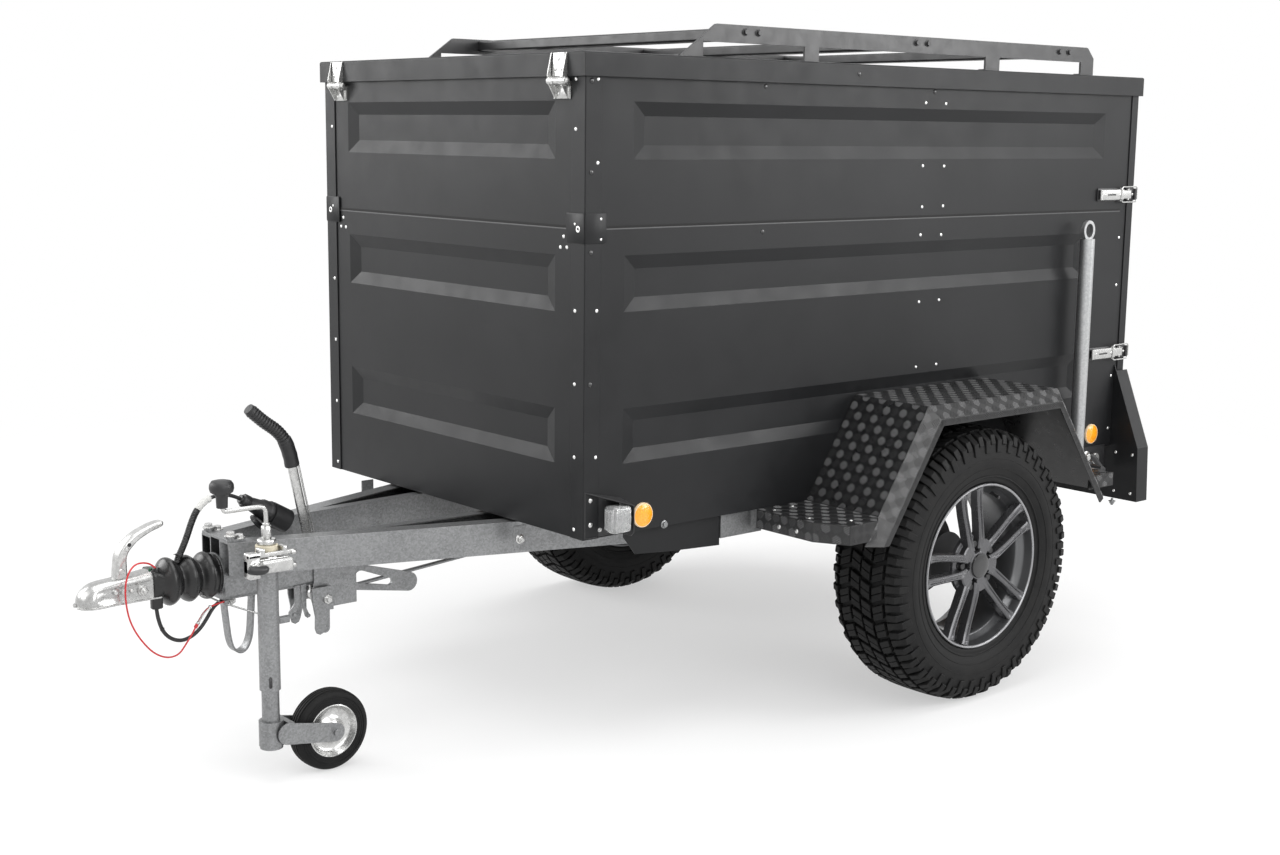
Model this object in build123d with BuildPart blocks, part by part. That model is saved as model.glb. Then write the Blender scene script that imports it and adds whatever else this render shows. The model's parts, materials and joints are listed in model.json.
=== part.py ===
from build123d import *
from math import atan2, cos, degrees, pi, radians, sin, tan
import os

# Off-road box trailer, parked on its jockey wheel.
# +X points to the towing vehicle, +Y to the left, +Z up; the floor is z = 0 and
# the origin lies under the middle of the whole trailer.

os.makedirs("parts", exist_ok=True)

# ---------------------------------------------------------------- driving sizes (mm)
box_length = 2105
box_width = 1125
wall_height = 1052          # underside of the box to the lid's rim
split_height = 716          # seam between lower and upper panels
ride_height = 548           # floor to underside of the box
panel_t = 20                # a whole wall, door or flap
sheet = 3                   # corner strips and folded sheet
seam = 6                    # gap round a door or flap
floor_t = 18

nose_reach = 978            # coupling tip ahead of the box
catch_reach = 26            # rearmost piece behind the box

axle_back = 1135            # wheel centre behind the box front
tyre_r = 364
tyre_width = 227
track = 1443                # between the middles of the two tyres

# ---------------------------------------------------------------- places that follow
half_w = box_width / 2
front_x = (box_length + catch_reach - nose_reach) / 2
rear_x = front_x - box_length
base_z = ride_height
axle_x = front_x - axle_back
skin_y = half_w - sheet                 # outer face of the side panels
inner_y = skin_y - panel_t              # inner face of the side panels
left_half = Plane.XZ


def mirrored(part):
    """The same piece on the trailer's right-hand side."""
    return mirror(part, about=left_half, mode=Mode.PRIVATE)


def offset_path(points, distance):
    """Shift an open polyline sideways to its left, with mitred corners."""
    shifted = []
    for i, (x, y) in enumerate(points):
        before = points[max(i - 1, 0)]
        after = points[min(i + 1, len(points) - 1)]
        into = (x - before[0], y - before[1]) if i else (after[0] - x, after[1] - y)
        out = (after[0] - x, after[1] - y) if i < len(points) - 1 else into
        a = atan2(into[1], into[0])
        b = atan2(out[1], out[0])
        reach = distance / cos((b - a) / 2)
        shifted.append((x - reach * sin((a + b) / 2), y + reach * cos((a + b) / 2)))
    return shifted


def strip(plane, points, thickness, amount):
    """A bent strip: a polyline given a thickness, then extruded from its plane."""
    with BuildPart() as bent:
        with BuildSketch(plane):
            with BuildLine():
                Polyline(*points, *reversed(offset_path(points, thickness)), close=True)
            make_face()
        extrude(amount=amount)
    return bent.part


# ---------------------------------------------------------------- walls with beads
bead_height = 130
bead_depth = 10
bead_slope = 32             # sloping band along the bead's two long sides
bead_end_slope = 40
lower_beads = (232, 587)    # middle of each bead above the underside
upper_bead = 934
post_side = 46              # corner strip seen from the side
post_front = 48             # corner strip seen from the front
rear_post_side = 30
rear_post_rear = 40
tuck = 16                   # walls reach this far up inside the lid's rim
wall_top = wall_height + tuck


def bead_tool(length):
    with BuildPart() as tool:
        with BuildSketch():
            Rectangle(length, bead_height)
        with BuildSketch(Plane.XY.offset(-bead_depth)):
            Rectangle(length - 2 * bead_end_slope, bead_height - 2 * bead_slope)
        loft()
    return tool.part


def beaded_panel(length, low, high, beads):
    """A panel from low to high, outer face on XY; beads are (middle, height, length)."""
    with BuildPart() as panel:
        with BuildSketch():
            with Locations((0, low)):
                Rectangle(length, high - low, align=(Align.CENTER, Align.MIN))
        extrude(amount=-panel_t)
        for middle, height, bead_length in beads:
            with Locations((middle, height, 0)):
                add(bead_tool(bead_length), mode=Mode.SUBTRACT)
    return panel.part


side_front = front_x - sheet
side_rear = rear_x + rear_post_side
side_length = side_front - side_rear
side_mid = (side_front + side_rear) / 2
left_face = Plane(origin=(side_mid, skin_y, base_z), x_dir=(-1, 0, 0), z_dir=(0, 1, 0))
front_face = Plane(origin=(side_front, 0, base_z), x_dir=(0, 1, 0), z_dir=(1, 0, 0))
rear_face = Plane(origin=(rear_x, 0, base_z), x_dir=(0, -1, 0), z_dir=(-1, 0, 0))

lower_bead_front = 118      # bare panel ahead of the side beads
lower_bead_rear = 225
upper_bead_front = 143
upper_bead_rear = 157


def side_beads(front_gap, rear_gap, heights):
    """Beads placed on a side panel, measured back from the box front."""
    start = front_x - front_gap
    end = rear_x + rear_gap
    middle = side_mid - (start + end) / 2
    return [(middle, height, start - end) for height in heights]


low_side_beads = side_beads(lower_bead_front, lower_bead_rear, lower_beads)
top_side_beads = side_beads(upper_bead_front, upper_bead_rear, [upper_bead])

with BuildPart() as left_wall_lower:
    with Locations(left_face.location):
        add(beaded_panel(side_length, 0, split_height, low_side_beads))
left_wall_lower.part.label = "left_wall_lower"
export_step(left_wall_lower.part, "parts/left_wall_lower.step")

with BuildPart() as left_wall_upper:
    with Locations(left_face.location):
        add(beaded_panel(side_length, split_height, wall_top, top_side_beads))
left_wall_upper.part.label = "left_wall_upper"
export_step(left_wall_upper.part, "parts/left_wall_upper.step")

with BuildPart() as right_wall_lower:
    add(mirrored(left_wall_lower.part))
right_wall_lower.part.label = "right_wall_lower"
export_step(right_wall_lower.part, "parts/right_wall_lower.step")

with BuildPart() as right_wall_upper:
    add(mirrored(left_wall_upper.part))
right_wall_upper.part.label = "right_wall_upper"
export_step(right_wall_upper.part, "parts/right_wall_upper.step")

front_bead_margin = 112     # bare panel each side of the front beads
front_bead = box_width - 2 * front_bead_margin

with BuildPart() as front_wall_lower:
    with Locations(front_face.location):
        beads = [(0, height, front_bead) for height in lower_beads]
        add(beaded_panel(2 * inner_y, 0, split_height, beads))
front_wall_lower.part.label = "front_wall_lower"
export_step(front_wall_lower.part, "parts/front_wall_lower.step")

with BuildPart() as front_wall_upper:
    with Locations(front_face.location):
        add(beaded_panel(2 * inner_y, split_height, wall_top, [(0, upper_bead, front_bead)]))
front_wall_upper.part.label = "front_wall_upper"
export_step(front_wall_upper.part, "parts/front_wall_upper.step")

# Angle strips over the front corners, closed posts at the rear.
with BuildPart() as corner_posts:
    with BuildSketch(Plane.XY.offset(base_z)):
        for side in (1, -1):
            with Locations((front_x - post_side / 2, side * (half_w - sheet / 2))):
                Rectangle(post_side, sheet)
            with Locations((front_x - sheet / 2, side * (half_w - post_front / 2))):
                Rectangle(sheet, post_front)
            with Locations((rear_x + rear_post_side / 2, side * (half_w - rear_post_rear / 2))):
                Rectangle(rear_post_side, rear_post_rear)
    extrude(amount=wall_top)
    front_edges = corner_posts.edges().filter_by(Axis.Z).group_by(Axis.X)[-1]
    fillet(front_edges.group_by(Axis.Y)[0] + front_edges.group_by(Axis.Y)[-1], radius=2.5)
corner_posts.part.label = "corner_posts"
export_step(corner_posts.part, "parts/corner_posts.step")

# Rim rails inside the walls and the rear header over the flap.
rail_w = 25
rail_h = 38
header_h = 58
rail_y = inner_y - rail_w / 2
rail_front = side_front - panel_t
with BuildPart() as top_frame:
    with BuildSketch(Plane.XY.offset(base_z + wall_top)):
        for side in (1, -1):
            with Locations(((rail_front + side_rear) / 2, side * rail_y)):
                Rectangle(rail_front - side_rear, rail_w)
        with Locations((rail_front - rail_w / 2, 0)):
            Rectangle(rail_w, 2 * inner_y)
    extrude(amount=-rail_h)
    with BuildSketch(Plane.XY.offset(base_z + wall_top)):
        with Locations((rear_x + rear_post_side / 2, 0)):
            Rectangle(rear_post_side, 2 * (half_w - rear_post_rear))
    extrude(amount=-header_h)
top_frame.part.label = "top_frame"
export_step(top_frame.part, "parts/top_frame.step")

# ---------------------------------------------------------------- floor and chassis
floor_rear = rear_x + panel_t + seam
with BuildPart() as floor_panel:
    with BuildSketch(Plane.XY.offset(base_z)):
        with Locations(((rail_front + side_rear) / 2, 0)):
            Rectangle(rail_front - side_rear, 2 * inner_y)
        with Locations(((floor_rear + side_rear) / 2, 0)):
            Rectangle(side_rear - floor_rear, 2 * (half_w - rear_post_rear))
    extrude(amount=floor_t)
floor_panel.part.label = "floor_panel"
export_step(floor_panel.part, "parts/floor_panel.step")

cross_front = front_x - 451     # cross beam that the drawbar butts against
cross_rear = front_x - 592
cross_h = 62
cross_half = half_w - 17.5
sill_half = 415
sill_h = 40
carrier_x = rear_x + 43         # front face of the rear light carrier
carrier_t = 4
sill_front = carrier_x - carrier_t
sill_rear = rear_x + 3
with BuildPart() as floor_frame:
    with BuildSketch(Plane.XY.offset(base_z)):
        with Locations(((cross_front + cross_rear) / 2, 0)):
            Rectangle(cross_front - cross_rear, 2 * cross_half)
    extrude(amount=-cross_h)
    with BuildSketch(Plane.XY.offset(base_z)):
        with Locations(((sill_front + sill_rear) / 2, 0)):
            Rectangle(sill_front - sill_rear, 2 * sill_half)
    extrude(amount=-sill_h)
floor_frame.part.label = "floor_frame"
export_step(floor_frame.part, "parts/floor_frame.step")

rail_mid = 170
chassis_w = 40
with BuildPart() as chassis_rails:
    with BuildSketch(Plane.XY.offset(base_z)):
        for side in (1, -1):
            with Locations(((cross_rear + carrier_x) / 2, side * rail_mid)):
                Rectangle(cross_rear - carrier_x, chassis_w)
    extrude(amount=-cross_h)
chassis_rails.part.label = "chassis_rails"
export_step(chassis_rails.part, "parts/chassis_rails.step")

# ---------------------------------------------------------------- drawbar
beam_front = front_x + 640
beam_h = 78
beam_drop = 6               # beam tops below the box
beam_wall = 4
outer_y0 = 280              # outer web at the box front
outer_slope = 0.333         # sideways run of the outer web for each mm rearward
inner_y0 = 130              # inner web at the box front
inner_slope = 0.06
outer_flange = 46
inner_flange = 28
beam_top = base_z - beam_drop
beam_bottom = beam_top - beam_h


def outer_web(x):
    return outer_y0 - outer_slope * (x - front_x)


def inner_web(x):
    return inner_y0 - inner_slope * (x - front_x)


# where the inner web leaves the outer flange's edge, and where the open top starts
bend_x = front_x + (outer_y0 - outer_flange - inner_y0) / (outer_slope - inner_slope)
slot_x = front_x + (outer_y0 - outer_flange - inner_y0 - inner_flange) / (outer_slope - inner_slope)

with BuildPart() as drawbar_left:
    with BuildSketch(Plane.XY.offset(beam_bottom)):
        with BuildLine():
            Polyline(
                (beam_front, outer_web(beam_front)),
                (cross_front, outer_web(cross_front)),
                (cross_front, inner_web(cross_front)),
                (bend_x, inner_web(bend_x)),
                (beam_front, outer_web(beam_front) - outer_flange),
                close=True,
            )
        make_face()
    extrude(amount=beam_h)
    with BuildSketch(Plane.XY.offset(beam_bottom + beam_wall)):
        with BuildLine():
            Polyline(
                (beam_front, outer_web(beam_front) - beam_wall),
                (cross_front + beam_wall, outer_web(cross_front + beam_wall) - beam_wall),
                (cross_front + beam_wall, inner_web(cross_front + beam_wall) + beam_wall),
                (bend_x, inner_web(bend_x) + beam_wall),
                (beam_front, outer_web(beam_front) - outer_flange + beam_wall),
                close=True,
            )
        make_face()
    extrude(amount=beam_h - 2 * beam_wall, mode=Mode.SUBTRACT)
    with BuildSketch(Plane.XY.offset(beam_top)):
        with BuildLine():
            Polyline(
                (slot_x, outer_web(slot_x) - outer_flange),
                (cross_front + beam_wall, outer_web(cross_front + beam_wall) - outer_flange),
                (cross_front + beam_wall, inner_web(cross_front + beam_wall) + inner_flange),
                close=True,
            )
        make_face()
    extrude(amount=-beam_wall, mode=Mode.SUBTRACT)
    # spacer between the outer flange and the box floor
    pad_x = front_x - 60
    with BuildSketch(Plane.XY.offset(beam_top)):
        with Locations((pad_x, outer_web(pad_x) - outer_flange / 2)):
            Rectangle(60, outer_flange - 10)
    extrude(amount=beam_drop)
drawbar_left.part.label = "drawbar_left"
export_step(drawbar_left.part, "parts/drawbar_left.step")

with BuildPart() as drawbar_right:
    add(mirrored(drawbar_left.part))
drawbar_right.part.label = "drawbar_right"
export_step(drawbar_right.part, "parts/drawbar_right.step")

# Top plate across the two beams, with a web between them.
bridge_x = front_x + 628
bridge_len = 44
bridge_t = 6
bridge_half = outer_web(bridge_x) - 6
with BuildPart() as drawbar_bridge:
    with BuildSketch(Plane.XY.offset(beam_top)):
        with Locations((bridge_x - bridge_len / 2 + 12, 0)):
            Rectangle(bridge_len, 2 * bridge_half)
    extrude(amount=bridge_t)
    web_x = bridge_x - 22
    web_half = outer_web(web_x + 3) - outer_flange
    with Locations((web_x, 0, beam_top)):
        Box(6, 2 * web_half, beam_h, align=(Align.CENTER, Align.CENTER, Align.MAX))
    for side in (1, -1):
        with Locations((bridge_x, side * 55, beam_top + bridge_t)):
            Cylinder(11, 8, align=(Align.CENTER, Align.CENTER, Align.MIN))
drawbar_bridge.part.label = "drawbar_bridge"
export_step(drawbar_bridge.part, "parts/drawbar_bridge.step")

# ---------------------------------------------------------------- hinges
# Both halves are drawn with the pin along Y at the origin: the fixed leaf hangs
# down on the -X side, the moving leaf stands up on the same side.
pin_fit = 0.3


def fixed_hinge(width, offset, leaf_t, length, knuckle_r, pin_r):
    with BuildPart() as half:
        Cylinder(pin_r, width, rotation=(90, 0, 0))
        for side in (1, -1):
            with Locations((0, side * width / 3, 0)):
                Cylinder(knuckle_r, width / 3, rotation=(90, 0, 0))
            with Locations((-offset / 2, side * width / 3, 0)):
                Box(offset, width / 3, knuckle_r + 2, align=(Align.CENTER, Align.CENTER, Align.MAX))
        with Locations((-offset + leaf_t / 2, 0, -knuckle_r - 2)):
            Box(leaf_t, width, length - knuckle_r - 2, align=(Align.CENTER, Align.CENTER, Align.MAX))
    return half.part


def moving_hinge(width, offset, leaf_t, length, knuckle_r, pin_r):
    middle = width / 3 - 1
    with BuildPart() as half:
        Cylinder(knuckle_r, middle, rotation=(90, 0, 0))
        with Locations((-offset / 2, 0, 0)):
            Box(offset, middle, knuckle_r + 2, align=(Align.CENTER, Align.CENTER, Align.MIN))
        with Locations((-offset + leaf_t / 2, 0, knuckle_r + 1.5)):
            Box(leaf_t, width, length - knuckle_r - 1.5, align=(Align.CENTER, Align.CENTER, Align.MIN))
        Cylinder(pin_r + pin_fit, width, rotation=(90, 0, 0), mode=Mode.SUBTRACT)
    return half.part


lid_overhang = 9
lid_rim_h = 54
lid_plate_t = 30
lid_rim_t = 4
lid_hinge_y = half_w - 82.5
lid_hinge_w = 60
lid_hinge_r = 10
lid_pin_r = 5
lid_hinge_out = 14          # pin ahead of the box front
lid_leaf_t = 5
lid_pin_x = front_x + lid_hinge_out
lid_pin_z = base_z + wall_height - lid_hinge_r

gate_hinge_y = half_w - 182.5
gate_hinge_w = 60
gate_hinge_r = 7
gate_pin_r = 4
gate_hinge_out = 8          # pin behind the box rear
gate_leaf_t = 4
gate_leaf = 90
gate_pin_x = rear_x - gate_hinge_out
gate_pin_z = base_z - 8
flap_top = wall_top - header_h - seam
flap_pin_z = base_z + flap_top + 12

with BuildPart() as hinge_mounts:
    for side in (1, -1):
        with Locations((lid_pin_x, side * lid_hinge_y, lid_pin_z)):
            add(fixed_hinge(lid_hinge_w, lid_hinge_out + sheet, lid_leaf_t, 39, lid_hinge_r, lid_pin_r))
        with Locations(Location((gate_pin_x, side * gate_hinge_y, gate_pin_z), (0, 0, 180))):
            add(fixed_hinge(gate_hinge_w, gate_hinge_out + 3, gate_leaf_t, 34, gate_hinge_r, gate_pin_r))
        with Locations(Location((gate_pin_x, side * gate_hinge_y, flap_pin_z), (0, 180, 0))):
            add(fixed_hinge(gate_hinge_w, gate_hinge_out, gate_leaf_t, 32, gate_hinge_r, gate_pin_r))
hinge_mounts.part.label = "hinge_mounts"
export_step(hinge_mounts.part, "parts/hinge_mounts.step")

# ---------------------------------------------------------------- lid and roof rack
with BuildPart() as lid:
    with BuildSketch(Plane.XY.offset(base_z + wall_height)):
        with Locations(((front_x + rear_x) / 2, 0)):
            Rectangle(box_length + 2 * lid_overhang, box_width + 2 * lid_overhang)
    extrude(amount=lid_rim_h)
    with BuildSketch(Plane.XY.offset(base_z + wall_height)):
        with Locations(((front_x + rear_x) / 2, 0)):
            inset = 2 * (lid_overhang - lid_rim_t)
            Rectangle(box_length + inset, box_width + inset)
    extrude(amount=lid_rim_h - lid_plate_t, mode=Mode.SUBTRACT)
    fillet(lid.faces().sort_by(Axis.Z)[-1].edges(), radius=5)
lid.part.label = "lid"
export_step(lid.part, "parts/lid.step")
lid_top = base_z + wall_height + lid_rim_h

with BuildPart() as lid_hinge_straps:
    for side in (1, -1):
        with Locations((lid_pin_x, side * lid_hinge_y, lid_pin_z)):
            strap_out = lid_hinge_out - lid_overhang
            add(moving_hinge(lid_hinge_w, strap_out, lid_leaf_t, 58, lid_hinge_r, lid_pin_r))
lid_hinge_straps.part.label = "lid_hinge_straps"
export_step(lid_hinge_straps.part, "parts/lid_hinge_straps.step")

rail_y_mid = half_w - 17.5
rail_t = 6
rail_top = 78               # rail height above the lid
rail_band = 42              # depth of the rail between its feet
rail_start = front_x - 290
rail_end = front_x - 1890
rail_feet = ((700, 750), (1400, 1460))      # middle feet, behind the box front
foot_flange = 18
bar_places = (518, 1135, 1747)
bar_len = 60
bar_h = 28
rail_face = Plane(origin=(0, rail_y_mid + rail_t / 2, lid_top), x_dir=(1, 0, 0), z_dir=(0, -1, 0))
window_starts = (front_x - 362, front_x - rail_feet[0][1], front_x - rail_feet[1][1])
window_ends = (front_x - rail_feet[0][0], front_x - rail_feet[1][0], rail_end + 60)
feet_x = (
    (rail_start, window_starts[0]),
    (window_ends[0], window_starts[1]),
    (window_ends[1], window_starts[2]),
    (window_ends[2], rail_end),
)
with BuildPart() as roof_rails:
    with BuildSketch(rail_face):
        with BuildLine():
            Polyline(
                (rail_start, 0),
                (rail_start - 112, rail_top),
                (rail_end + 30, rail_top),
                (rail_end, rail_top - 30),
                (rail_end, 0),
                close=True,
            )
        make_face()
        fillet(vertices().group_by(Axis.Y)[-1], radius=14)
        for start, end in zip(window_starts, window_ends):
            with Locations(((start + end) / 2, 0)):
                Rectangle(start - end, 2 * (rail_top - rail_band), mode=Mode.SUBTRACT)
    extrude(amount=rail_t)
    for start, end in feet_x:
        with Locations(((start + end) / 2, rail_y_mid - rail_t / 2, lid_top)):
            Box(start - end, foot_flange, 4, align=(Align.CENTER, Align.MAX, Align.MIN))
    add(mirrored(roof_rails.part))
roof_rails.part.label = "roof_rails"
export_step(roof_rails.part, "parts/roof_rails.step")

bar_top = lid_top + rail_top - 4
with BuildPart() as roof_bars:
    for back in bar_places:
        with Locations((front_x - back, 0, bar_top)):
            bar_half = rail_y_mid - rail_t / 2
            Box(bar_len, 2 * bar_half, bar_h, align=(Align.CENTER, Align.CENTER, Align.MAX))
    fillet(roof_bars.edges().filter_by(Axis.Y), radius=5)
roof_bars.part.label = "roof_bars"
export_step(roof_bars.part, "parts/roof_bars.step")

# ---------------------------------------------------------------- tailgate and rear flap
gate_half = half_w - rear_post_rear - seam
gate_bead = 2 * gate_half - 150
with BuildPart() as tailgate:
    with Locations(rear_face.location):
        beads = [(0, height, gate_bead) for height in lower_beads]
        add(beaded_panel(2 * gate_half, seam, split_height - seam / 2, beads))
tailgate.part.label = "tailgate"
export_step(tailgate.part, "parts/tailgate.step")

with BuildPart() as rear_flap:
    with Locations(rear_face.location):
        flap_bead = (0, (split_height + flap_top) / 2, gate_bead)
        add(beaded_panel(2 * gate_half, split_height + seam / 2, flap_top, [flap_bead]))
rear_flap.part.label = "rear_flap"
export_step(rear_flap.part, "parts/rear_flap.step")

# A catch stands off the door and ends just behind the latch's wire bail.
catch_t = 4
catch_h = 24
catch_foot = 32
catch_edge = gate_half - 4
catch_tip = half_w - 10
gate_catch_z = base_z + 292
flap_catch_z = base_z + split_height + 47


def catch():
    with BuildPart() as hook:
        with BuildSketch(Plane.XY.offset(-catch_h / 2)):
            with BuildLine():
                Polyline(
                    (0, catch_edge - catch_foot),
                    (0, catch_edge),
                    (catch_t - catch_reach, catch_edge),
                    (catch_t - catch_reach, catch_tip),
                    (-catch_reach, catch_tip),
                    (-catch_reach, catch_edge - catch_t),
                    (-catch_t, catch_edge - catch_t),
                    (-catch_t, catch_edge - catch_foot),
                    close=True,
                )
            make_face()
        extrude(amount=catch_h)
    return hook.part


def door_fittings(pin_z, turn, catch_z):
    """Two moving hinge leaves and two catches for one rear door."""
    with BuildPart() as fittings:
        for side in (1, -1):
            with Locations(Location((gate_pin_x, side * gate_hinge_y, pin_z), turn)):
                leaf = (gate_hinge_w, gate_hinge_out, gate_leaf_t, gate_leaf, gate_hinge_r, gate_pin_r)
                add(moving_hinge(*leaf))
        with Locations((rear_x, 0, catch_z)):
            add(catch())
            add(mirrored(catch()))
    return fittings.part


with BuildPart() as tailgate_fittings:
    add(door_fittings(gate_pin_z, (0, 0, 180), gate_catch_z))
tailgate_fittings.part.label = "tailgate_fittings"
export_step(tailgate_fittings.part, "parts/tailgate_fittings.step")

with BuildPart() as flap_fittings:
    add(door_fittings(flap_pin_z, (0, 180, 0), flap_catch_z))
flap_fittings.part.label = "flap_fittings"
export_step(flap_fittings.part, "parts/flap_fittings.step")

# Toggle latches on the box sides: base, lever and wire bail in one piece each.
latch_start = rear_x + 165
latch_end = rear_x + 48
latch_h = 30
latch_wire_r = 2.5
latch_bar_r = 4.6
bail_half = 12
bail_y = half_w + 5
bail_x = rear_x - 13
bail_in = half_w - 17.5


def latch():
    with BuildPart() as toggle:
        with Locations(((latch_start + latch_end) / 2, skin_y, 0)):
            Box(latch_start - latch_end, 4, latch_h, align=(Align.CENTER, Align.MIN, Align.CENTER))
        with BuildSketch(Plane.XY.offset(-9)):
            with BuildLine():
                Polyline(
                    (latch_start - 8, skin_y + 4),
                    (latch_start - 14, skin_y + 12),
                    (latch_end + 30, skin_y + 15),
                    (latch_end + 14, skin_y + 4),
                    close=True,
                )
            make_face()
        extrude(amount=18)
        with BuildLine():
            bail = FilletPolyline(
                (latch_end + 45, bail_y, -bail_half),
                (bail_x, bail_y, -bail_half),
                (bail_x, bail_in, -bail_half),
                (bail_x, bail_in, bail_half),
                (bail_x, bail_y, bail_half),
                (latch_end + 45, bail_y, bail_half),
                radius=4,
            )
        with BuildSketch(Plane(origin=bail @ 0, z_dir=bail % 0)):
            Circle(latch_wire_r)
        sweep(path=bail)
        with Locations((latch_end + 45, bail_y, 0)):
            Cylinder(latch_bar_r, 2 * bail_half + 6)
    return toggle.part


with BuildPart() as side_latches:
    for height in (gate_catch_z, flap_catch_z):
        with Locations((0, 0, height)):
            add(latch())
            add(mirrored(latch()))
side_latches.part.label = "side_latches"
export_step(side_latches.part, "parts/side_latches.step")

# ---------------------------------------------------------------- axle and wheels
axle_beam_x = front_x - 955
axle_beam_w = 88
axle_half = 455
arm_t = 30
wheel_y = track / 2
axle_z = base_z - cross_h - axle_beam_w / 2
rim_half = 100
lip_r = 220.5
seat_r = 205.5
tyre_bead_half = 93
hub_face = -20              # wheel mounting face, from the tyre's middle
drum_r = 115
drum_inner = -160
drum_outer = -100
hub_r = 70
stub_r = 17
face_r = 78                 # middle disc of the wheel face
boss_r = 74
spoke_low = 68              # spokes' back and front, from the tyre's middle
spoke_high = 95
spoke_mid = 133.5
spoke_apart = 27            # each spoke of a pair off the pair's middle line
spoke_splay = 3.5
spoke_len = 133
spoke_w = 20
pair_turn = 67.4            # first pair, from straight ahead towards the ground
slot_r = 66                 # slots between the spokes of a pair hold the wheel bolts
slot_len = 36
slot_w = 24
plate_r = 120

with BuildPart() as axle_beam:
    with Locations((axle_beam_x, 0, axle_z)):
        Box(axle_beam_w, 2 * axle_half, axle_beam_w)
    fillet(axle_beam.edges().filter_by(Axis.Y), radius=8)
axle_beam.part.label = "axle_beam"
export_step(axle_beam.part, "parts/axle_beam.step")

# Trailing arm, spindle and brake backing plate, one solid each side.
drum_y = wheel_y + drum_inner
plate_y = drum_y - seam
with BuildPart() as swing_arms:
    with BuildSketch(Plane(origin=(0, axle_half, 0), x_dir=(-1, 0, 0), z_dir=(0, 1, 0))):
        with Locations((-axle_beam_x, axle_z)):
            Circle(46)
        with Locations((-axle_x, tyre_r)):
            Circle(38)
        make_hull()
    extrude(amount=arm_t)
    spindle = Plane(origin=(axle_x, axle_half, tyre_r), x_dir=(1, 0, 0), z_dir=(0, 1, 0))
    with BuildSketch(spindle):
        Circle(30)
    extrude(amount=plate_y - axle_half)
    with BuildSketch(spindle.offset(plate_y - axle_half)):
        Circle(plate_r)
    extrude(amount=-4)
    with BuildSketch(spindle):
        Circle(stub_r)
    extrude(amount=wheel_y + drum_outer + 40 - axle_half)
    add(mirrored(swing_arms.part))
swing_arms.part.label = "swing_arms"
export_step(swing_arms.part, "parts/swing_arms.step")

hub_plane = Plane(origin=(axle_x, wheel_y, tyre_r), x_dir=(1, 0, 0), z_dir=(0, 1, 0))
stub_fit = 0.3


def hub_drum():
    with BuildPart() as drum:
        with BuildSketch(hub_plane.offset(drum_inner)):
            Circle(drum_r)
        extrude(amount=drum_outer - drum_inner)
        with BuildSketch(hub_plane.offset(drum_outer)):
            Circle(hub_r)
        extrude(amount=hub_face - drum_outer)
        with BuildSketch(hub_plane.offset(drum_inner)):
            Circle(stub_r + stub_fit)
        extrude(amount=drum_outer + 45 - drum_inner, mode=Mode.SUBTRACT)
        chamfer(drum.faces().sort_by(Axis.Y)[0].edges().sort_by(SortBy.RADIUS)[-1], length=4)
    return drum.part


def rim():
    """Barrel with a dropped centre, five pairs of spokes and a hub boss."""
    barrel = Plane(origin=hub_plane.origin, x_dir=(1, 0, 0), z_dir=(0, 0, 1))
    with BuildPart() as wheel:
        with BuildSketch(barrel):
            with BuildLine():
                Polyline(
                    (lip_r, rim_half),
                    (lip_r, rim_half - 6),
                    (seat_r, rim_half - 6),
                    (seat_r - 3, 70),
                    (190, 60),
                    (190, -60),
                    (seat_r - 3, -70),
                    (seat_r, 6 - rim_half),
                    (lip_r, 6 - rim_half),
                    (lip_r, -rim_half),
                    (lip_r - 7, -rim_half),
                    (seat_r - 6, 8 - rim_half),
                    (197, -66),
                    (184, -56),
                    (184, 56),
                    (197, 66),
                    (seat_r - 6, rim_half - 8),
                    (lip_r - 7, rim_half),
                    close=True,
                )
            make_face()
        revolve(axis=Axis(hub_plane.origin, (0, 1, 0)))
        with BuildSketch(hub_plane.offset(spoke_low)):
            Circle(face_r)
            with PolarLocations(0, 5, start_angle=pair_turn):
                for side in (1, -1):
                    with Locations(Location((spoke_mid, side * spoke_apart, 0), (0, 0, side * spoke_splay))):
                        Rectangle(spoke_len, spoke_w)
        extrude(amount=spoke_high - spoke_low)
        with BuildSketch(hub_plane.offset(spoke_high)):
            with PolarLocations(slot_r, 5, start_angle=pair_turn):
                Rectangle(slot_len, slot_w)
        extrude(amount=spoke_low - spoke_high, mode=Mode.SUBTRACT)
        with BuildSketch(hub_plane.offset(hub_face)):
            Circle(boss_r)
        extrude(amount=spoke_low + 1 - hub_face)
    return wheel.part


bead_fit = 0.7


def tyre():
    section = Plane(origin=hub_plane.origin, x_dir=(1, 0, 0), z_dir=(0, 0, 1))
    half_t = tyre_width / 2
    with BuildPart() as ring:
        with BuildSketch(section):
            with BuildLine():
                bead = Line((seat_r + bead_fit, 0), (seat_r + bead_fit, tyre_bead_half))
                wall = Line(bead @ 1, (lip_r + 1, tyre_bead_half))
                side = Spline(
                    wall @ 1,
                    (lip_r + 18, half_t - 7),
                    (lip_r + 62, half_t),
                    (tyre_r - 34, half_t - 5),
                    (tyre_r - 12, half_t - 17),
                )
                shoulder = Line(side @ 1, (tyre_r - 3, half_t - 32))
                crown = Line(shoulder @ 1, (tyre_r, half_t - 62))
                Line(crown @ 1, (tyre_r, 0))
                mirror(about=Plane.XZ)
            make_face()
        revolve(axis=Axis(hub_plane.origin, (0, 1, 0)))
    return ring.part


with BuildPart() as hub_drum_left:
    add(hub_drum())
hub_drum_left.part.label = "hub_drum_left"
export_step(hub_drum_left.part, "parts/hub_drum_left.step")

with BuildPart() as hub_drum_right:
    add(mirrored(hub_drum_left.part))
hub_drum_right.part.label = "hub_drum_right"
export_step(hub_drum_right.part, "parts/hub_drum_right.step")

with BuildPart() as rim_left:
    add(rim())
rim_left.part.label = "rim_left"
export_step(rim_left.part, "parts/rim_left.step")

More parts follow.
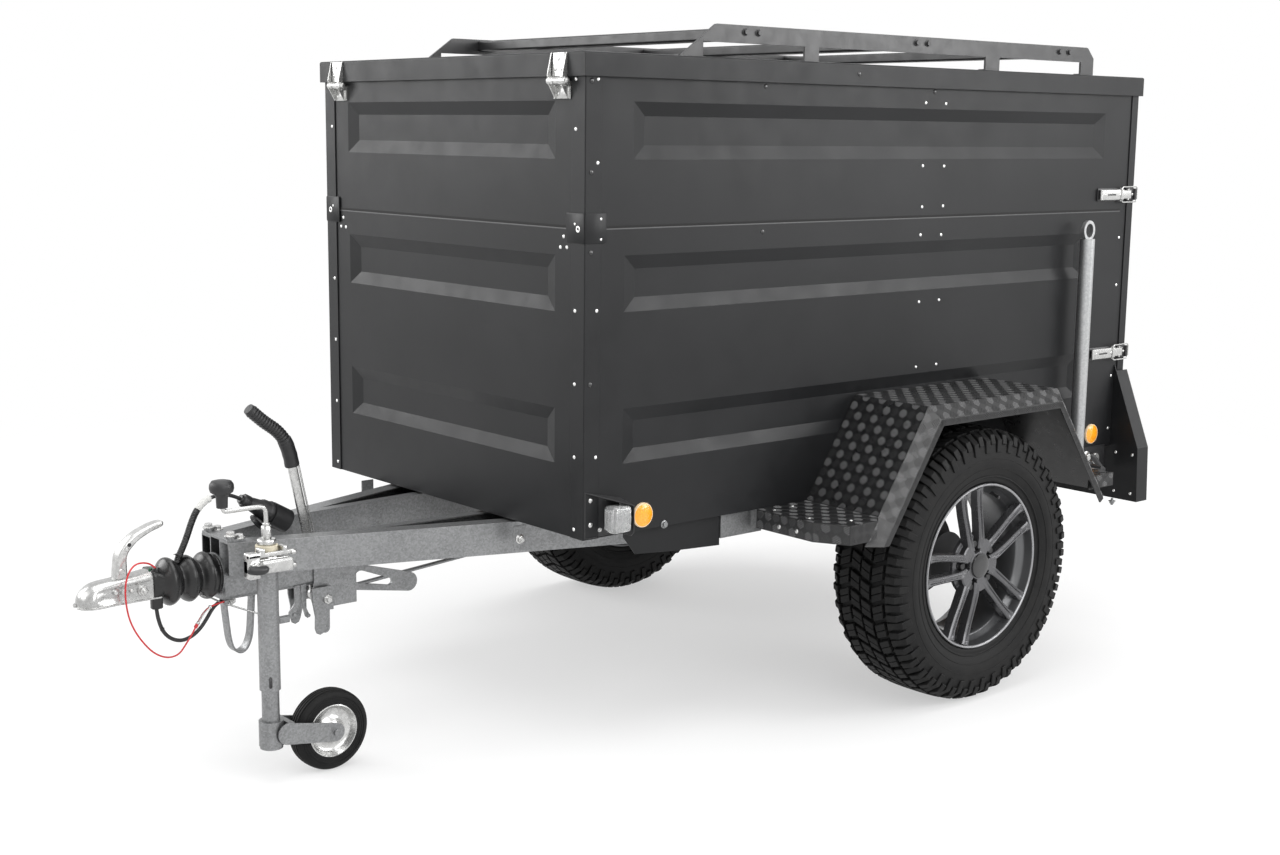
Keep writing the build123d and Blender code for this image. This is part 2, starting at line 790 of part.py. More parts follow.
with BuildPart() as rim_right:
    add(mirrored(rim_left.part))
rim_right.part.label = "rim_right"
export_step(rim_right.part, "parts/rim_right.step")

with BuildPart() as tyre_left:
    add(tyre())
tyre_left.part.label = "tyre_left"
export_step(tyre_left.part, "parts/tyre_left.step")

with BuildPart() as tyre_right:
    add(mirrored(tyre_left.part))
tyre_right.part.label = "tyre_right"
export_step(tyre_right.part, "parts/tyre_right.step")

# ---------------------------------------------------------------- mudguards
guard_out = (track + tyre_width) / 2 + 3
guard_t = 4
guard_bevel = 31            # outer band folded down at 45 degrees
guard_lip = 17              # upright edge below that band
guard_top = 260
band_y = guard_out - guard_bevel
step_front = axle_x + 575
step_joint = axle_x + 398   # here the sloping plate leaves the step
step_lip = 48
step_corner_y = guard_out - 84      # the step's outer corner is cut off from here
step_corner_x = axle_x + 530
step_side = axle_x + 432            # end of the step's side lip
crest_front = axle_x + 224
crest_rear = axle_x - 307
slope_run = (step_joint - crest_front) / guard_top
slope_low = 70              # the band reaches this far below the step
rear_end = (axle_x - 529, -46)
rear_step_z = -12           # a small step behind the rear slope, with its own lip
rear_step_end = axle_x - 621
rear_step_lip = 37
rear_step_out = guard_out - 52
plate_path = ((step_joint, 0), (crest_front, guard_top), (crest_rear, guard_top), rear_end)
band_path = ((step_joint + 110 * slope_run, -110), *plate_path[1:])
band_t = 1.41 * guard_t
band_face = Plane(origin=(0, band_y, base_z), x_dir=(1, 0, 0), z_dir=(0, -1, 0))
guard_face = Plane(origin=(0, guard_out, base_z), x_dir=(1, 0, 0), z_dir=(0, -1, 0))
with BuildPart() as mudguard_left:
    with BuildSketch(Plane.XY.offset(base_z)):
        with BuildLine():
            Polyline(
                (step_joint - guard_t, skin_y),
                (step_front, skin_y),
                (step_front, step_corner_y),
                (step_corner_x, guard_out),
                (step_side, guard_out),
                (step_joint, band_y),
                (step_joint - guard_t, band_y),
                close=True,
            )
        make_face()
    extrude(amount=-guard_t)
    step_edge = ((step_front, skin_y), (step_front, step_corner_y), (step_corner_x, guard_out))
    add(strip(Plane.XY.offset(base_z), step_edge, guard_t, -step_lip))
    with BuildSketch(guard_face):
        with BuildLine():
            Polyline(
                (step_side, 0),
                (step_corner_x, 0),
                (step_corner_x, -step_lip),
                (step_side + slope_run * step_lip, -step_lip),
                close=True,
            )
        make_face()
    extrude(amount=guard_t)
    # sloping plates and top, then the folded band with its upright edge
    add(strip(band_face, plate_path, guard_t, band_y - skin_y))
    rear_run = (crest_rear - rear_end[0]) / (guard_top - rear_end[1])
    rear_start = crest_rear - rear_run * (guard_top - rear_step_z)
    rear_edge = ((rear_start - 2, rear_step_out), (rear_step_end, rear_step_out), (rear_step_end, skin_y))
    rear_plane = Plane.XY.offset(base_z + rear_step_z)
    with BuildSketch(rear_plane):
        with BuildLine():
            Polyline((rear_start - 2, skin_y), *rear_edge, close=True)
        make_face()
    extrude(amount=-guard_t)
    add(strip(rear_plane, rear_edge, guard_t, -rear_step_lip))
    with BuildPart() as band:
        with BuildSketch(band_face):
            with BuildLine():
                Polyline(*band_path, *reversed(offset_path(band_path, band_t)), close=True)
            make_face()
        with BuildSketch(guard_face):
            outer_path = offset_path(band_path, guard_bevel)
            with BuildLine():
                Polyline(*outer_path, *reversed(offset_path(band_path, guard_bevel + band_t)), close=True)
            make_face()
        loft(ruled=True)
        add(strip(guard_face, outer_path, guard_lip, guard_t))
        with Locations((step_joint, guard_out, base_z - slope_low)):
            Box(300, 4 * guard_bevel, 200, align=(Align.CENTER, Align.CENTER, Align.MAX), mode=Mode.SUBTRACT)
    add(band.part)
mudguard_left.part.label = "mudguard_left"
export_step(mudguard_left.part, "parts/mudguard_left.step")

with BuildPart() as mudguard_right:
    add(mirrored(mudguard_left.part))
mudguard_right.part.label = "mudguard_right"
export_step(mudguard_right.part, "parts/mudguard_right.step")

# ---------------------------------------------------------------- rear light carrier
carrier_low = 160
carrier_edge = 665
carrier_apex = 252
carrier_fold = 55
carrier_face = Plane(origin=(carrier_x, 0, base_z), x_dir=(0, -1, 0), z_dir=(-1, 0, 0))
wing = ((-skin_y, carrier_apex), (6 - carrier_edge, 4), (-carrier_edge, -carrier_low))
fold = ((-half_w - 6, carrier_apex - 20), *wing[1:])
other_wing = [(-x, y) for x, y in reversed(wing)]
other_fold = [(-x, y) for x, y in reversed(fold)]
with BuildPart() as light_carrier:
    with BuildSketch(carrier_face):
        with BuildLine():
            Polyline(*wing, *other_wing, (skin_y, 0), (-skin_y, 0), close=True)
        make_face()
    extrude(amount=carrier_t)
    add(strip(carrier_face, fold, carrier_t, carrier_fold))
    add(strip(carrier_face, other_fold, carrier_t, carrier_fold))
    add(strip(carrier_face, (wing[-1], other_wing[0]), carrier_t, carrier_fold / 2))
light_carrier.part.label = "light_carrier"
export_step(light_carrier.part, "parts/light_carrier.step")

lamp_len = 226
lamp_h = 136
lamp_depth = 52
lamp_y = sill_half + 10 + lamp_len / 2
lamp_low = carrier_low - 10
carrier_back = carrier_x - carrier_t
with BuildPart() as tail_lamps:
    for side in (1, -1):
        with Locations((carrier_back, side * lamp_y, base_z - lamp_low)):
            Box(lamp_depth, lamp_len, lamp_h, align=(Align.MAX, Align.CENTER, Align.MIN))
    fillet(tail_lamps.faces().group_by(Axis.X)[0].edges(), radius=9)
tail_lamps.part.label = "tail_lamps"
export_step(tail_lamps.part, "parts/tail_lamps.step")

with BuildPart() as number_plate:
    with Locations((carrier_back, 0, base_z - lamp_low + 50)):
        Box(3, 520, 110, align=(Align.MAX, Align.CENTER, Align.CENTER))
    fillet(number_plate.edges().filter_by(Axis.X), radius=8)
number_plate.part.label = "number_plate"
export_step(number_plate.part, "parts/number_plate.step")

# Front position lamps: a folded bracket on the corner strip and a clear lens block.
lens_x = front_x - 108
with BuildPart() as position_lamps:
    side_plane = Plane(origin=(0, half_w, base_z), x_dir=(-1, 0, 0), z_dir=(0, 1, 0))
    with BuildSketch(side_plane):
        with BuildLine():
            Polyline(
                (5 - front_x, 24),
                (5 - front_x, 113),
                (70 - front_x, 104),
                (-lens_x + 4, 86),
                (-lens_x + 4, 6),
                close=True,
            )
        make_face()
    extrude(amount=4)
    with Locations((lens_x, half_w, base_z + 6)):
        Box(4, 52, 80, align=(Align.MAX, Align.MIN, Align.MIN))
    with Locations((lens_x, half_w + 8, base_z + 14)):
        Box(52, 42, 64, align=(Align.MIN, Align.MIN, Align.MIN))
    fillet(position_lamps.faces().filter_by(Axis.X).sort_by(Axis.X)[-2].edges(), radius=1)
    add(mirrored(position_lamps.part))
position_lamps.part.label = "position_lamps"
export_step(position_lamps.part, "parts/position_lamps.step")

# ---------------------------------------------------------------- rear prop stands
stand_x = front_x - 1828
stand_y = half_w + 42.5
stand_r = 21
stand_bottom = base_z - 78
stand_top = base_z + 640
clamp_low = base_z - 52
clamp_h = 40
clamp_plate_h = 76          # hangs below the side panel, held along its upper edge
clamp_plate_len = 215
stand_fit = 0.4


def prop_stand():
    with BuildPart() as stand:
        with Locations((stand_x, stand_y, stand_bottom)):
            Cylinder(stand_r, stand_top - stand_bottom, align=(Align.CENTER, Align.CENTER, Align.MIN))
        with Locations((stand_x, stand_y, stand_bottom + 5)):
            Cylinder(
                stand_r - 2.5,
                stand_top - stand_bottom - 10,
                align=(Align.CENTER, Align.CENTER, Align.MIN),
                mode=Mode.SUBTRACT,
            )
        ring_plane = Plane(origin=(stand_x, stand_y + 6, stand_top + 24), x_dir=(1, 0, 0), z_dir=(0, -1, 0))
        with BuildSketch(ring_plane):
            Ellipse(26, 29)
            Ellipse(17, 20, mode=Mode.SUBTRACT)
        extrude(amount=12)
    return stand.part


with BuildPart() as stand_left:
    add(prop_stand())
stand_left.part.label = "stand_left"
export_step(stand_left.part, "parts/stand_left.step")

with BuildPart() as stand_right:
    add(mirrored(stand_left.part))
stand_right.part.label = "stand_right"
export_step(stand_right.part, "parts/stand_right.step")

with BuildPart() as stand_clamps:
    with Locations((stand_x + 14, skin_y, base_z + 8)):
        Box(clamp_plate_len, 5, clamp_plate_h, align=(Align.MAX, Align.MIN, Align.MAX))
    with Locations((stand_x, skin_y, clamp_low)):
        Box(36, stand_y - skin_y, clamp_h, align=(Align.CENTER, Align.MIN, Align.MIN))
    with Locations((stand_x, stand_y, clamp_low)):
        Cylinder(stand_r + 9, clamp_h, align=(Align.CENTER, Align.CENTER, Align.MIN))
    with Locations((stand_x - 34, stand_y + 12, clamp_low + clamp_h / 2)):
        Box(44, 12, 26)
    with Locations((stand_x - 46, stand_y + 30, clamp_low + clamp_h / 2)):
        Cylinder(5, 60, rotation=(90, 0, 0))
    with Locations((stand_x, stand_y, clamp_low)):
        Cylinder(stand_r + stand_fit, 3 * clamp_h, mode=Mode.SUBTRACT)
    add(mirrored(stand_clamps.part))
stand_clamps.part.label = "stand_clamps"
export_step(stand_clamps.part, "parts/stand_clamps.step")

# ---------------------------------------------------------------- overrun gear
shank_z = base_z - 90
housing_front = front_x + 640
housing_rear = front_x + 408
housing_half = 45
housing_h = 64
flange_t = 5
with BuildPart() as overrun_housing:
    with Locations(((housing_front + housing_rear) / 2, 0, beam_bottom)):
        Box(
            housing_front - housing_rear,
            2 * housing_half,
            housing_h,
            align=(Align.CENTER, Align.CENTER, Align.MAX),
        )
    fillet(overrun_housing.edges().filter_by(Axis.X).group_by(Axis.Z)[0], radius=14)
    with BuildSketch(Plane(origin=(housing_front, 0, shank_z), x_dir=(0, 1, 0), z_dir=(1, 0, 0))):
        Circle(50)
    extrude(amount=flange_t)
    with Locations((housing_front - 8, 32, beam_bottom - housing_h)):
        Cylinder(6, 9, align=(Align.CENTER, Align.CENTER, Align.MAX))
overrun_housing.part.label = "overrun_housing"
export_step(overrun_housing.part, "parts/overrun_housing.step")

gaiter_rear = housing_front + flange_t
gaiter_front = front_x + 793
shank_r = 25
gaiter_fit = 0.3
bellow_r = 55
valley_r = 38
with BuildPart() as gaiter:
    with BuildSketch(Plane(origin=(0, 0, shank_z), x_dir=(1, 0, 0), z_dir=(0, -1, 0))):
        with BuildLine():
            cuff = Polyline(
                (gaiter_rear, shank_r + gaiter_fit),
                (gaiter_rear, 46),
                (gaiter_rear + 6, 46),
            )
            bellows = Spline(
                cuff @ 1,
                (gaiter_rear + 23, bellow_r),
                (gaiter_rear + 45, valley_r),
                (gaiter_rear + 67, bellow_r - 2),
                (gaiter_rear + 91, valley_r),
                (gaiter_rear + 115, bellow_r),
                (gaiter_front - 12, valley_r - 4),
                (gaiter_front - 8, 33),
            )
            Polyline(
                bellows @ 1,
                (gaiter_front, 33),
                (gaiter_front, shank_r + gaiter_fit),
                cuff @ 0,
            )
        make_face()
    revolve(axis=Axis((0, 0, shank_z), (1, 0, 0)))
gaiter.part.label = "gaiter"
export_step(gaiter.part, "parts/gaiter.step")

ball_x = front_x + 940
ball_z = base_z - 102
ball_r = 25
ball_fit = 0.3
cup_r = nose_reach - 940
head_half = 30
head_low = base_z - 113
head_plane = Plane(origin=(front_x, head_half, base_z), x_dir=(1, 0, 0), z_dir=(0, -1, 0))
with BuildPart() as coupling_head:
    with BuildSketch(head_plane):
        with BuildLine():
            Polyline(
                (793, -110),
                (793, -62),
                (812, -54),
                (850, -60),
                (908, -60),
                (945, -72),
                (945, -110),
                close=True,
            )
        make_face()
    extrude(amount=2 * head_half)
    fillet(coupling_head.edges().filter_by(Axis.X).group_by(Axis.Z)[-1], radius=6)
    with Locations((ball_x, 0, ball_z)):
        Sphere(cup_r)
    with Locations((ball_x, 0, head_low)):
        Cylinder(2 * cup_r, cup_r, align=(Align.CENTER, Align.CENTER, Align.MAX), mode=Mode.SUBTRACT)
    with Locations((ball_x, 0, ball_z)):
        Sphere(ball_r + ball_fit, mode=Mode.SUBTRACT)
        Cylinder(
            ball_r + ball_fit,
            cup_r,
            align=(Align.CENTER, Align.CENTER, Align.MAX),
            mode=Mode.SUBTRACT,
        )
    with BuildSketch(Plane(origin=(gaiter_rear, 0, shank_z), x_dir=(0, 1, 0), z_dir=(1, 0, 0))):
        Circle(shank_r)
    extrude(amount=gaiter_front + 10 - gaiter_rear)
    for ahead, drop in ((895, 90), (820, 98)):
        with Locations((front_x + ahead, 0, base_z - drop)):
            Cylinder(9, 2 * head_half + 16, rotation=(90, 0, 0))
    with Locations((front_x + 807, 14, base_z - 110)):
        Box(26, 30, 25, align=(Align.CENTER, Align.CENTER, Align.MAX))
    with Locations((front_x + 795, 24, base_z - 62)):
        Cylinder(6, 14, align=(Align.CENTER, Align.CENTER, Align.MIN))
coupling_head.part.label = "coupling_head"
export_step(coupling_head.part, "parts/coupling_head.step")

handle_path = ((893, -57), (888, -17), (869, 10), (840, 31), (806, 46), (773, 50))
with BuildPart() as coupling_handle:
    handle_plane = Plane(origin=(front_x, 18, base_z), x_dir=(1, 0, 0), z_dir=(0, -1, 0))
    add(strip(handle_plane, handle_path, 19, 36))
    with Locations((front_x + 877, 0, base_z - 60)):
        Box(36, 34, 26, align=(Align.CENTER, Align.CENTER, Align.MIN))
coupling_handle.part.label = "coupling_handle"
export_step(coupling_handle.part, "parts/coupling_handle.step")

# Brake bracket, levers, pull rod and the cable stay of the handbrake.
pivot = (383, -181)         # handbrake bolt: ahead of the box front, above its underside
pivot_r = 10
bracket_in = housing_half
bracket_t = 5
bracket_len = 116
pull_rod_r = 5
arm_end = (115, -193)
arm_root = (300, -150)
side_view = Plane(origin=(front_x, 0, base_z), x_dir=(1, 0, 0), z_dir=(0, -1, 0))


def at_side(x, y, z):
    """A point of the drawbar, ahead of the box front and above its underside."""
    return Vector(front_x + x, y, base_z + z)


with BuildPart() as brake_linkage:
    for side in (1, -1):
        with Locations(at_side(295, side * (bracket_in + bracket_t / 2), -84)):
            Box(bracket_len, bracket_t, 121, align=(Align.MIN, Align.CENTER, Align.MAX))
    with Locations(at_side(pivot[0], 0, pivot[1])):
        Cylinder(pivot_r, 2 * (bracket_in + bracket_t) + 14, rotation=(90, 0, 0))
    with Locations(at_side(arm_root[0] + 8, 0, arm_root[1])):
        Cylinder(9, 2 * bracket_in + 2, rotation=(90, 0, 0))
    with BuildSketch(side_view.offset(-32)):
        with Locations(pivot):
            Circle(24)
        with Locations((372, -262)):
            Circle(12)
        make_hull()
    extrude(amount=8)
    with Locations(at_side(372, 24, -262)):
        Cylinder(6, 30, rotation=(90, 0, 0))
    with BuildSketch(side_view.offset(-5)):
        with Locations(arm_end):
            Circle(24)
        with Locations(arm_root):
            Circle(34)
        make_hull()
    extrude(amount=10)
    with BuildSketch(side_view.offset(-5)):
        with Locations((arm_end[0] + 58, arm_end[1] + 9)):
            Circle(9)
        with Locations((arm_root[0] - 44, arm_root[1] - 9)):
            Circle(16)
        make_hull()
    extrude(amount=10, mode=Mode.SUBTRACT)
    rod_start = at_side(arm_root[0] - 14, 0, arm_root[1] - 29)
    rod_end = Vector(axle_beam_x + axle_beam_w / 2, 0, axle_z + 18)
    rod_line = Plane(origin=rod_start, z_dir=rod_end - rod_start)
    with BuildSketch(rod_line):
        Circle(pull_rod_r)
    extrude(amount=(rod_end - rod_start).length - 0.6)
brake_linkage.part.label = "brake_linkage"
export_step(brake_linkage.part, "parts/brake_linkage.step")

lever_path = (pivot, (404, -20), (436, 145), (456, 205), (500, 246))
lever_w = 22
lever_t = 8
pivot_fit = 0.4
grip_r = 17
grip_start = (470, 216)
grip_end = (561, 300)
with BuildPart() as handbrake_lever:
    lever_plane = side_view.offset(-lever_t / 2)
    add(strip(lever_plane, lever_path, lever_w, lever_t))
    with BuildSketch(lever_plane):
        with Locations(pivot):
            Circle(lever_w)
    extrude(amount=lever_t)
    with BuildSketch(lever_plane):
        with Locations(pivot):
            Circle(pivot_r + pivot_fit)
    extrude(amount=lever_t, mode=Mode.SUBTRACT)
    grip_low = at_side(grip_start[0], 0, grip_start[1])
    grip_high = at_side(grip_end[0], 0, grip_end[1])
    with BuildSketch(Plane(origin=grip_low, z_dir=grip_high - grip_low)):
        Circle(grip_r)
    extrude(amount=(grip_high - grip_low).length)
    fillet(handbrake_lever.faces().sort_by(Axis.X)[-1].edges(), radius=6)
handbrake_lever.part.label = "handbrake_lever"
export_step(handbrake_lever.part, "parts/handbrake_lever.step")

strap_t = 5
strap_w = 30
strap_path = ((622, -148), (614, -240), (602, -276), (590, -286), (576, -276), (562, -240), (554, -148))
with BuildPart() as drawbar_strap:
    add(strip(side_view.offset(-strap_w / 2), strap_path, strap_t, strap_w))
drawbar_strap.part.label = "drawbar_strap"
export_step(drawbar_strap.part, "parts/drawbar_strap.step")

# ---------------------------------------------------------------- jockey wheel
jockey_x = front_x + 609
jockey_y = 190
jockey_tube_r = 24
jockey_leg_r = 20
leg_fit = 0.4
jockey_r = 96
jockey_w = 50
jockey_trail = 148
tube_low = base_z - 327
tube_top = base_z - 4
leg_low = base_z - 459
fork_top = base_z - 400
fork_in = 33
fork_t = 4
jockey_pin_r = 8
hub_x = jockey_x - jockey_trail
clamp_z = base_z - 46
clamp_tall = 40

with BuildPart() as jockey_tube:
    with Locations((jockey_x, jockey_y, tube_low)):
        Cylinder(jockey_tube_r, tube_top - tube_low, align=(Align.CENTER, Align.CENTER, Align.MIN))
        Cylinder(
            jockey_leg_r + leg_fit,
            tube_top - tube_low - 8,
            align=(Align.CENTER, Align.CENTER, Align.MIN),
            mode=Mode.SUBTRACT,
        )
jockey_tube.part.label = "jockey_tube"
export_step(jockey_tube.part, "parts/jockey_tube.step")

web_turn = degrees(atan2(outer_slope, 1))
web_y = outer_web(jockey_x)
web_x = jockey_x - 12
with BuildPart() as jockey_clamp:
    web_spot = Location((web_x, outer_web(web_x), clamp_z + clamp_tall / 2 - 6), (0, 0, -web_turn))
    with Locations(web_spot):
        Box(92, 8, 52, align=(Align.CENTER, Align.MIN, Align.CENTER))
    with Locations((jockey_x, web_y + 8, clamp_z)):
        Box(38, jockey_y - web_y - 8, clamp_tall, align=(Align.CENTER, Align.MIN, Align.MIN))
    with Locations((jockey_x, jockey_y, clamp_z)):
        Cylinder(jockey_tube_r + 12, clamp_tall, align=(Align.CENTER, Align.CENTER, Align.MIN))
    with Locations((jockey_x + 6, jockey_y + 10, clamp_z)):
        Box(116, 24, clamp_tall, align=(Align.CENTER, Align.MIN, Align.MIN))
    fillet(jockey_clamp.edges().filter_by(Axis.Z).group_by(Axis.Y)[-1], radius=8)
    with Locations((jockey_x + 46, jockey_y + 34, clamp_z + 20)):
        Cylinder(9, 10, rotation=(90, 0, 0))
    with Locations((jockey_x + 24, jockey_y + 34, clamp_z + 14)):
        Box(96, 12, 12, align=(Align.CENTER, Align.MIN, Align.CENTER))
    with Locations((jockey_x, jockey_y, clamp_z - 5)):
        Cylinder(
            jockey_tube_r + 0.1,
            clamp_tall + 10,
            align=(Align.CENTER, Align.CENTER, Align.MIN),
            mode=Mode.SUBTRACT,
        )
jockey_clamp.part.label = "jockey_clamp"
export_step(jockey_clamp.part, "parts/jockey_clamp.step")

crank_reach = 104
with BuildPart() as jockey_crank:
    with Locations((jockey_x, jockey_y, tube_top)):
        Cylinder(jockey_tube_r + 2, 31, align=(Align.CENTER, Align.CENTER, Align.MIN))
        Cylinder(11, 56, align=(Align.CENTER, Align.CENTER, Align.MIN))
    with BuildLine():
        crank = FilletPolyline(
            (jockey_x, jockey_y, base_z + 48),
            (jockey_x, jockey_y, base_z + 93),
            (jockey_x + crank_reach, jockey_y, base_z + 99),
            (jockey_x + crank_reach, jockey_y, base_z + 128),
            radius=13,
        )
    with BuildSketch(Plane(origin=crank @ 0, z_dir=crank % 0)):
        Circle(6)
    sweep(path=crank)
    with Locations((jockey_x + crank_reach, jockey_y, base_z + 114)):
        Cylinder(11, 32, align=(Align.CENTER, Align.CENTER, Align.MIN))
    knob = Plane(origin=(jockey_x + crank_reach, jockey_y, base_z + 138), x_dir=(1, 0, 0), z_dir=(0, -1, 0))
    with BuildSketch(knob):
        with BuildLine():
            knob_side = Spline((14, 0), (25, 8), (27, 20), (20, 30), tangents=((1, 0.3), (-1, 0.4)))
            Polyline(knob_side @ 1, (0, 32), (0, 0), knob_side @ 0)
        make_face()
    revolve(axis=Axis(knob.origin, (0, 0, 1)))
jockey_crank.part.label = "jockey_crank"
export_step(jockey_crank.part, "parts/jockey_crank.step")

with BuildPart() as jockey_leg:
    with Locations((jockey_x, jockey_y, leg_low)):
        Cylinder(jockey_leg_r, 320, align=(Align.CENTER, Align.CENTER, Align.MIN))
    with Locations((jockey_x, jockey_y, leg_low - 0.3)):
        Cylinder(jockey_leg_r + 6, 6, align=(Align.CENTER, Align.CENTER, Align.MAX))
        Cylinder(jockey_leg_r - 6, 6, align=(Align.CENTER, Align.CENTER, Align.MIN))
jockey_leg.part.label = "jockey_leg"
export_step(jockey_leg.part, "parts/jockey_leg.step")

with BuildPart() as jockey_fork:
    with Locations((jockey_x, jockey_y, leg_low)):
        Cylinder(jockey_leg_r + 8, fork_top - leg_low, align=(Align.CENTER, Align.CENTER, Align.MIN))
        Cylinder(
            jockey_leg_r + leg_fit,
            fork_top - leg_low,
            align=(Align.CENTER, Align.CENTER, Align.MIN),
            mode=Mode.SUBTRACT,
        )
    with Locations((jockey_x - 34, jockey_y, leg_low + 4)):
        Box(14, 2 * fork_in + 1, 50, align=(Align.CENTER, Align.CENTER, Align.MIN))
    for side in (1, -1):
        outward = jockey_y + side * fork_in
        with BuildSketch(Plane(origin=(0, outward, 0), x_dir=(-side, 0, 0), z_dir=(0, side, 0))):
            with Locations((-side * hub_x, jockey_r)):
                Circle(22)
            with Locations((-side * (jockey_x - 24), (leg_low + fork_top) / 2)):
                Circle(25)
            make_hull()
        extrude(amount=fork_t)
    with Locations((hub_x, jockey_y, jockey_r)):
        Cylinder(jockey_pin_r, 2 * (fork_in + fork_t) + 14, rotation=(90, 0, 0))
jockey_fork.part.label = "jockey_fork"
export_step(jockey_fork.part, "parts/jockey_fork.step")

jockey_axis = Axis((hub_x, jockey_y, jockey_r), (0, 1, 0))
jockey_section = Plane(origin=jockey_axis.position, x_dir=(1, 0, 0), z_dir=(0, 0, 1))
jockey_seat = 62
with BuildPart() as jockey_rim:
    with BuildSketch(jockey_section):
        with BuildLine():
            Polyline(
                (jockey_pin_r + 0.3, -27),
                (18, -27),
                (18, -5),
                (52, -5),
                (54, -19),
                (jockey_seat + 5, -21),
                (jockey_seat + 5, -18),
                (jockey_seat, -17),
                (jockey_seat, 17),
                (jockey_seat + 5, 18),
                (jockey_seat + 5, 21),
                (54, 19),
                (52, 5),
                (18, 5),
                (18, 27),
                (jockey_pin_r + 0.3, 27),
                close=True,
            )
        make_face()
    revolve(axis=jockey_axis)
jockey_rim.part.label = "jockey_rim"
export_step(jockey_rim.part, "parts/jockey_rim.step")

with BuildPart() as jockey_tyre:
    with BuildSketch(jockey_section):
        with BuildLine():
            tread = Spline(
                (jockey_seat + 6, 20),
                (jockey_seat + 18, jockey_w / 2),
                (jockey_r - 10, jockey_w / 2 - 4),
                (jockey_r, 0),
                (jockey_r - 10, 4 - jockey_w / 2),
                (jockey_seat + 18, -jockey_w / 2),
                (jockey_seat + 6, -20),
            )
            Polyline(
                tread @ 1,
                (jockey_seat + 5.5, -17.4),
                (jockey_seat + 0.4, -16.6),
                (jockey_seat + 0.4, 16.6),
                (jockey_seat + 5.5, 17.4),
                tread @ 0,
            )
        make_face()
    revolve(axis=jockey_axis)
jockey_tyre.part.label = "jockey_tyre"
export_step(jockey_tyre.part, "parts/jockey_tyre.step")

# ---------------------------------------------------------------- plug, holder and cords
plug_tail = at_side(432, -40, -2)
plug_dir = Vector(0.863, 0, 0.505)
plug_line = Plane(origin=plug_tail, x_dir=(0, 1, 0), z_dir=plug_dir)
plug_r = 24
plug_fit = 0.3
holder_wall = 5
holder_floor = 6
holder_len = 50
with BuildPart() as plug_holder:
    with BuildSketch(plug_line):
        Circle(plug_r + holder_wall)
    extrude(amount=holder_len)
    with Locations(at_side(450, -50, -6)):
        Box(36, 76, 6, align=(Align.CENTER, Align.MAX, Align.MIN))
    with BuildSketch(plug_line.offset(holder_floor)):
        Circle(plug_r + plug_fit)
    extrude(amount=holder_len + 20, mode=Mode.SUBTRACT)
plug_holder.part.label = "plug_holder"
export_step(plug_holder.part, "parts/plug_holder.step")

plug_len = 141              # plug and gland together
plug_straight = 82
plug_taper = 114            # where the taper meets the gland
gland_r = 12
with BuildPart() as lead_plug:
    with BuildSketch(plug_line.offset(holder_floor + plug_fit)):
        Circle(plug_r)
    extrude(amount=plug_straight - holder_floor)
    with BuildSketch(plug_line.offset(plug_straight)):
        Circle(plug_r - 4)
    with BuildSketch(plug_line.offset(plug_taper)):
        Circle(plug_r - 9)
    loft()
    with BuildSketch(plug_line.offset(plug_taper)):
        Circle(gland_r)
    extrude(amount=plug_len - plug_taper)
lead_plug.part.label = "lead_plug"
export_step(lead_plug.part, "parts/lead_plug.step")


def cord(route, diameter, limit):
    """A tube of straight runs and arcs, each arc as large as its runs allow."""
    points = [at_side(*point) for point in route]
    radii = []
    for a, b, c in zip(points, points[1:], points[2:]):
        turn = radians((b - a).get_angle(c - b))
        radii.append(0.45 * min((b - a).length, (c - b).length) / tan(turn / 2))
    with BuildPart() as tube:
        with BuildLine():
            line = FilletPolyline(*points, radius=[min(radius, limit) for radius in radii])
        with BuildSketch(Plane(origin=line @ 0, z_dir=line % 0)):
            Circle(diameter / 2)
        sweep(path=line)
    section = pi * diameter**2 / 4
    print("cord radii", [round(radius) for radius in radii], "length", round(line.length))
    print("  volume over section times length", tube.part.volume / (line.length * section))
    return tube.part


plug_end = (432 + 0.863 * plug_len, -40, -2 + 0.505 * plug_len)
lead_d = 9
lead_route = [
    plug_end,
    (572, -39, 79),
    (598, -35, 85),
    (628, -27, 86),
    (655, -18, 80),
    (678, -11, 63),
    (694, -6, 38),
    (706, -3, 11),
    (719, -1, -16),
    (731, 0, -36),
    (737, 0, -51.4),
]
with BuildPart() as tow_lead:
    add(cord(lead_route, lead_d, 900))
tow_lead.part.label = "tow_lead"
export_step(tow_lead.part, "parts/tow_lead.step")

loop_route = [
    (800, 22, -133),
    (798, 22, -156),
    (792, 22, -182),
    (782, 22, -204),
    (764, 22, -221),
    (740, 22, -229),
    (715, 22, -223),
    (694, 22, -208),
    (677, 21, -188),
    (662, 20, -167),
    (648, 19, -156),
    (632, 18, -150),
]
with BuildPart() as cable_loop:
    add(cord(loop_route, lead_d, 900))
cable_loop.part.label = "cable_loop"
export_step(cable_loop.part, "parts/cable_loop.step")

breakaway_d = 4
breakaway_route = [
    (795, 24, -52),
    (808, 26, -38),
    (828, 33, -29),
    (852, 40, -27),
    (868, 43, -39),
    (877, 44, -58),
    (881, 44, -83),
    (880, 44, -113),
    (875, 44, -145),
    (864, 44, -175),
    (847, 44, -204),
    (825, 43, -232),
    (801, 42, -250),
    (778, 41, -257),
    (756, 40, -253),
    (740, 38, -236),
    (722, 37, -213),
    (706, 36, -188),
    (688, 35, -164),
    (664, 34, -153),
    (636, 32, -151),
]
with BuildPart() as breakaway_cable:
    add(cord(breakaway_route, breakaway_d, 900))
breakaway_cable.part.label = "breakaway_cable"
export_step(breakaway_cable.part, "parts/breakaway_cable.step")
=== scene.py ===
import json
import math
import bpy
import bmesh
import numpy as np
from mathutils import Matrix, Vector
from mathutils.bvhtree import BVHTree


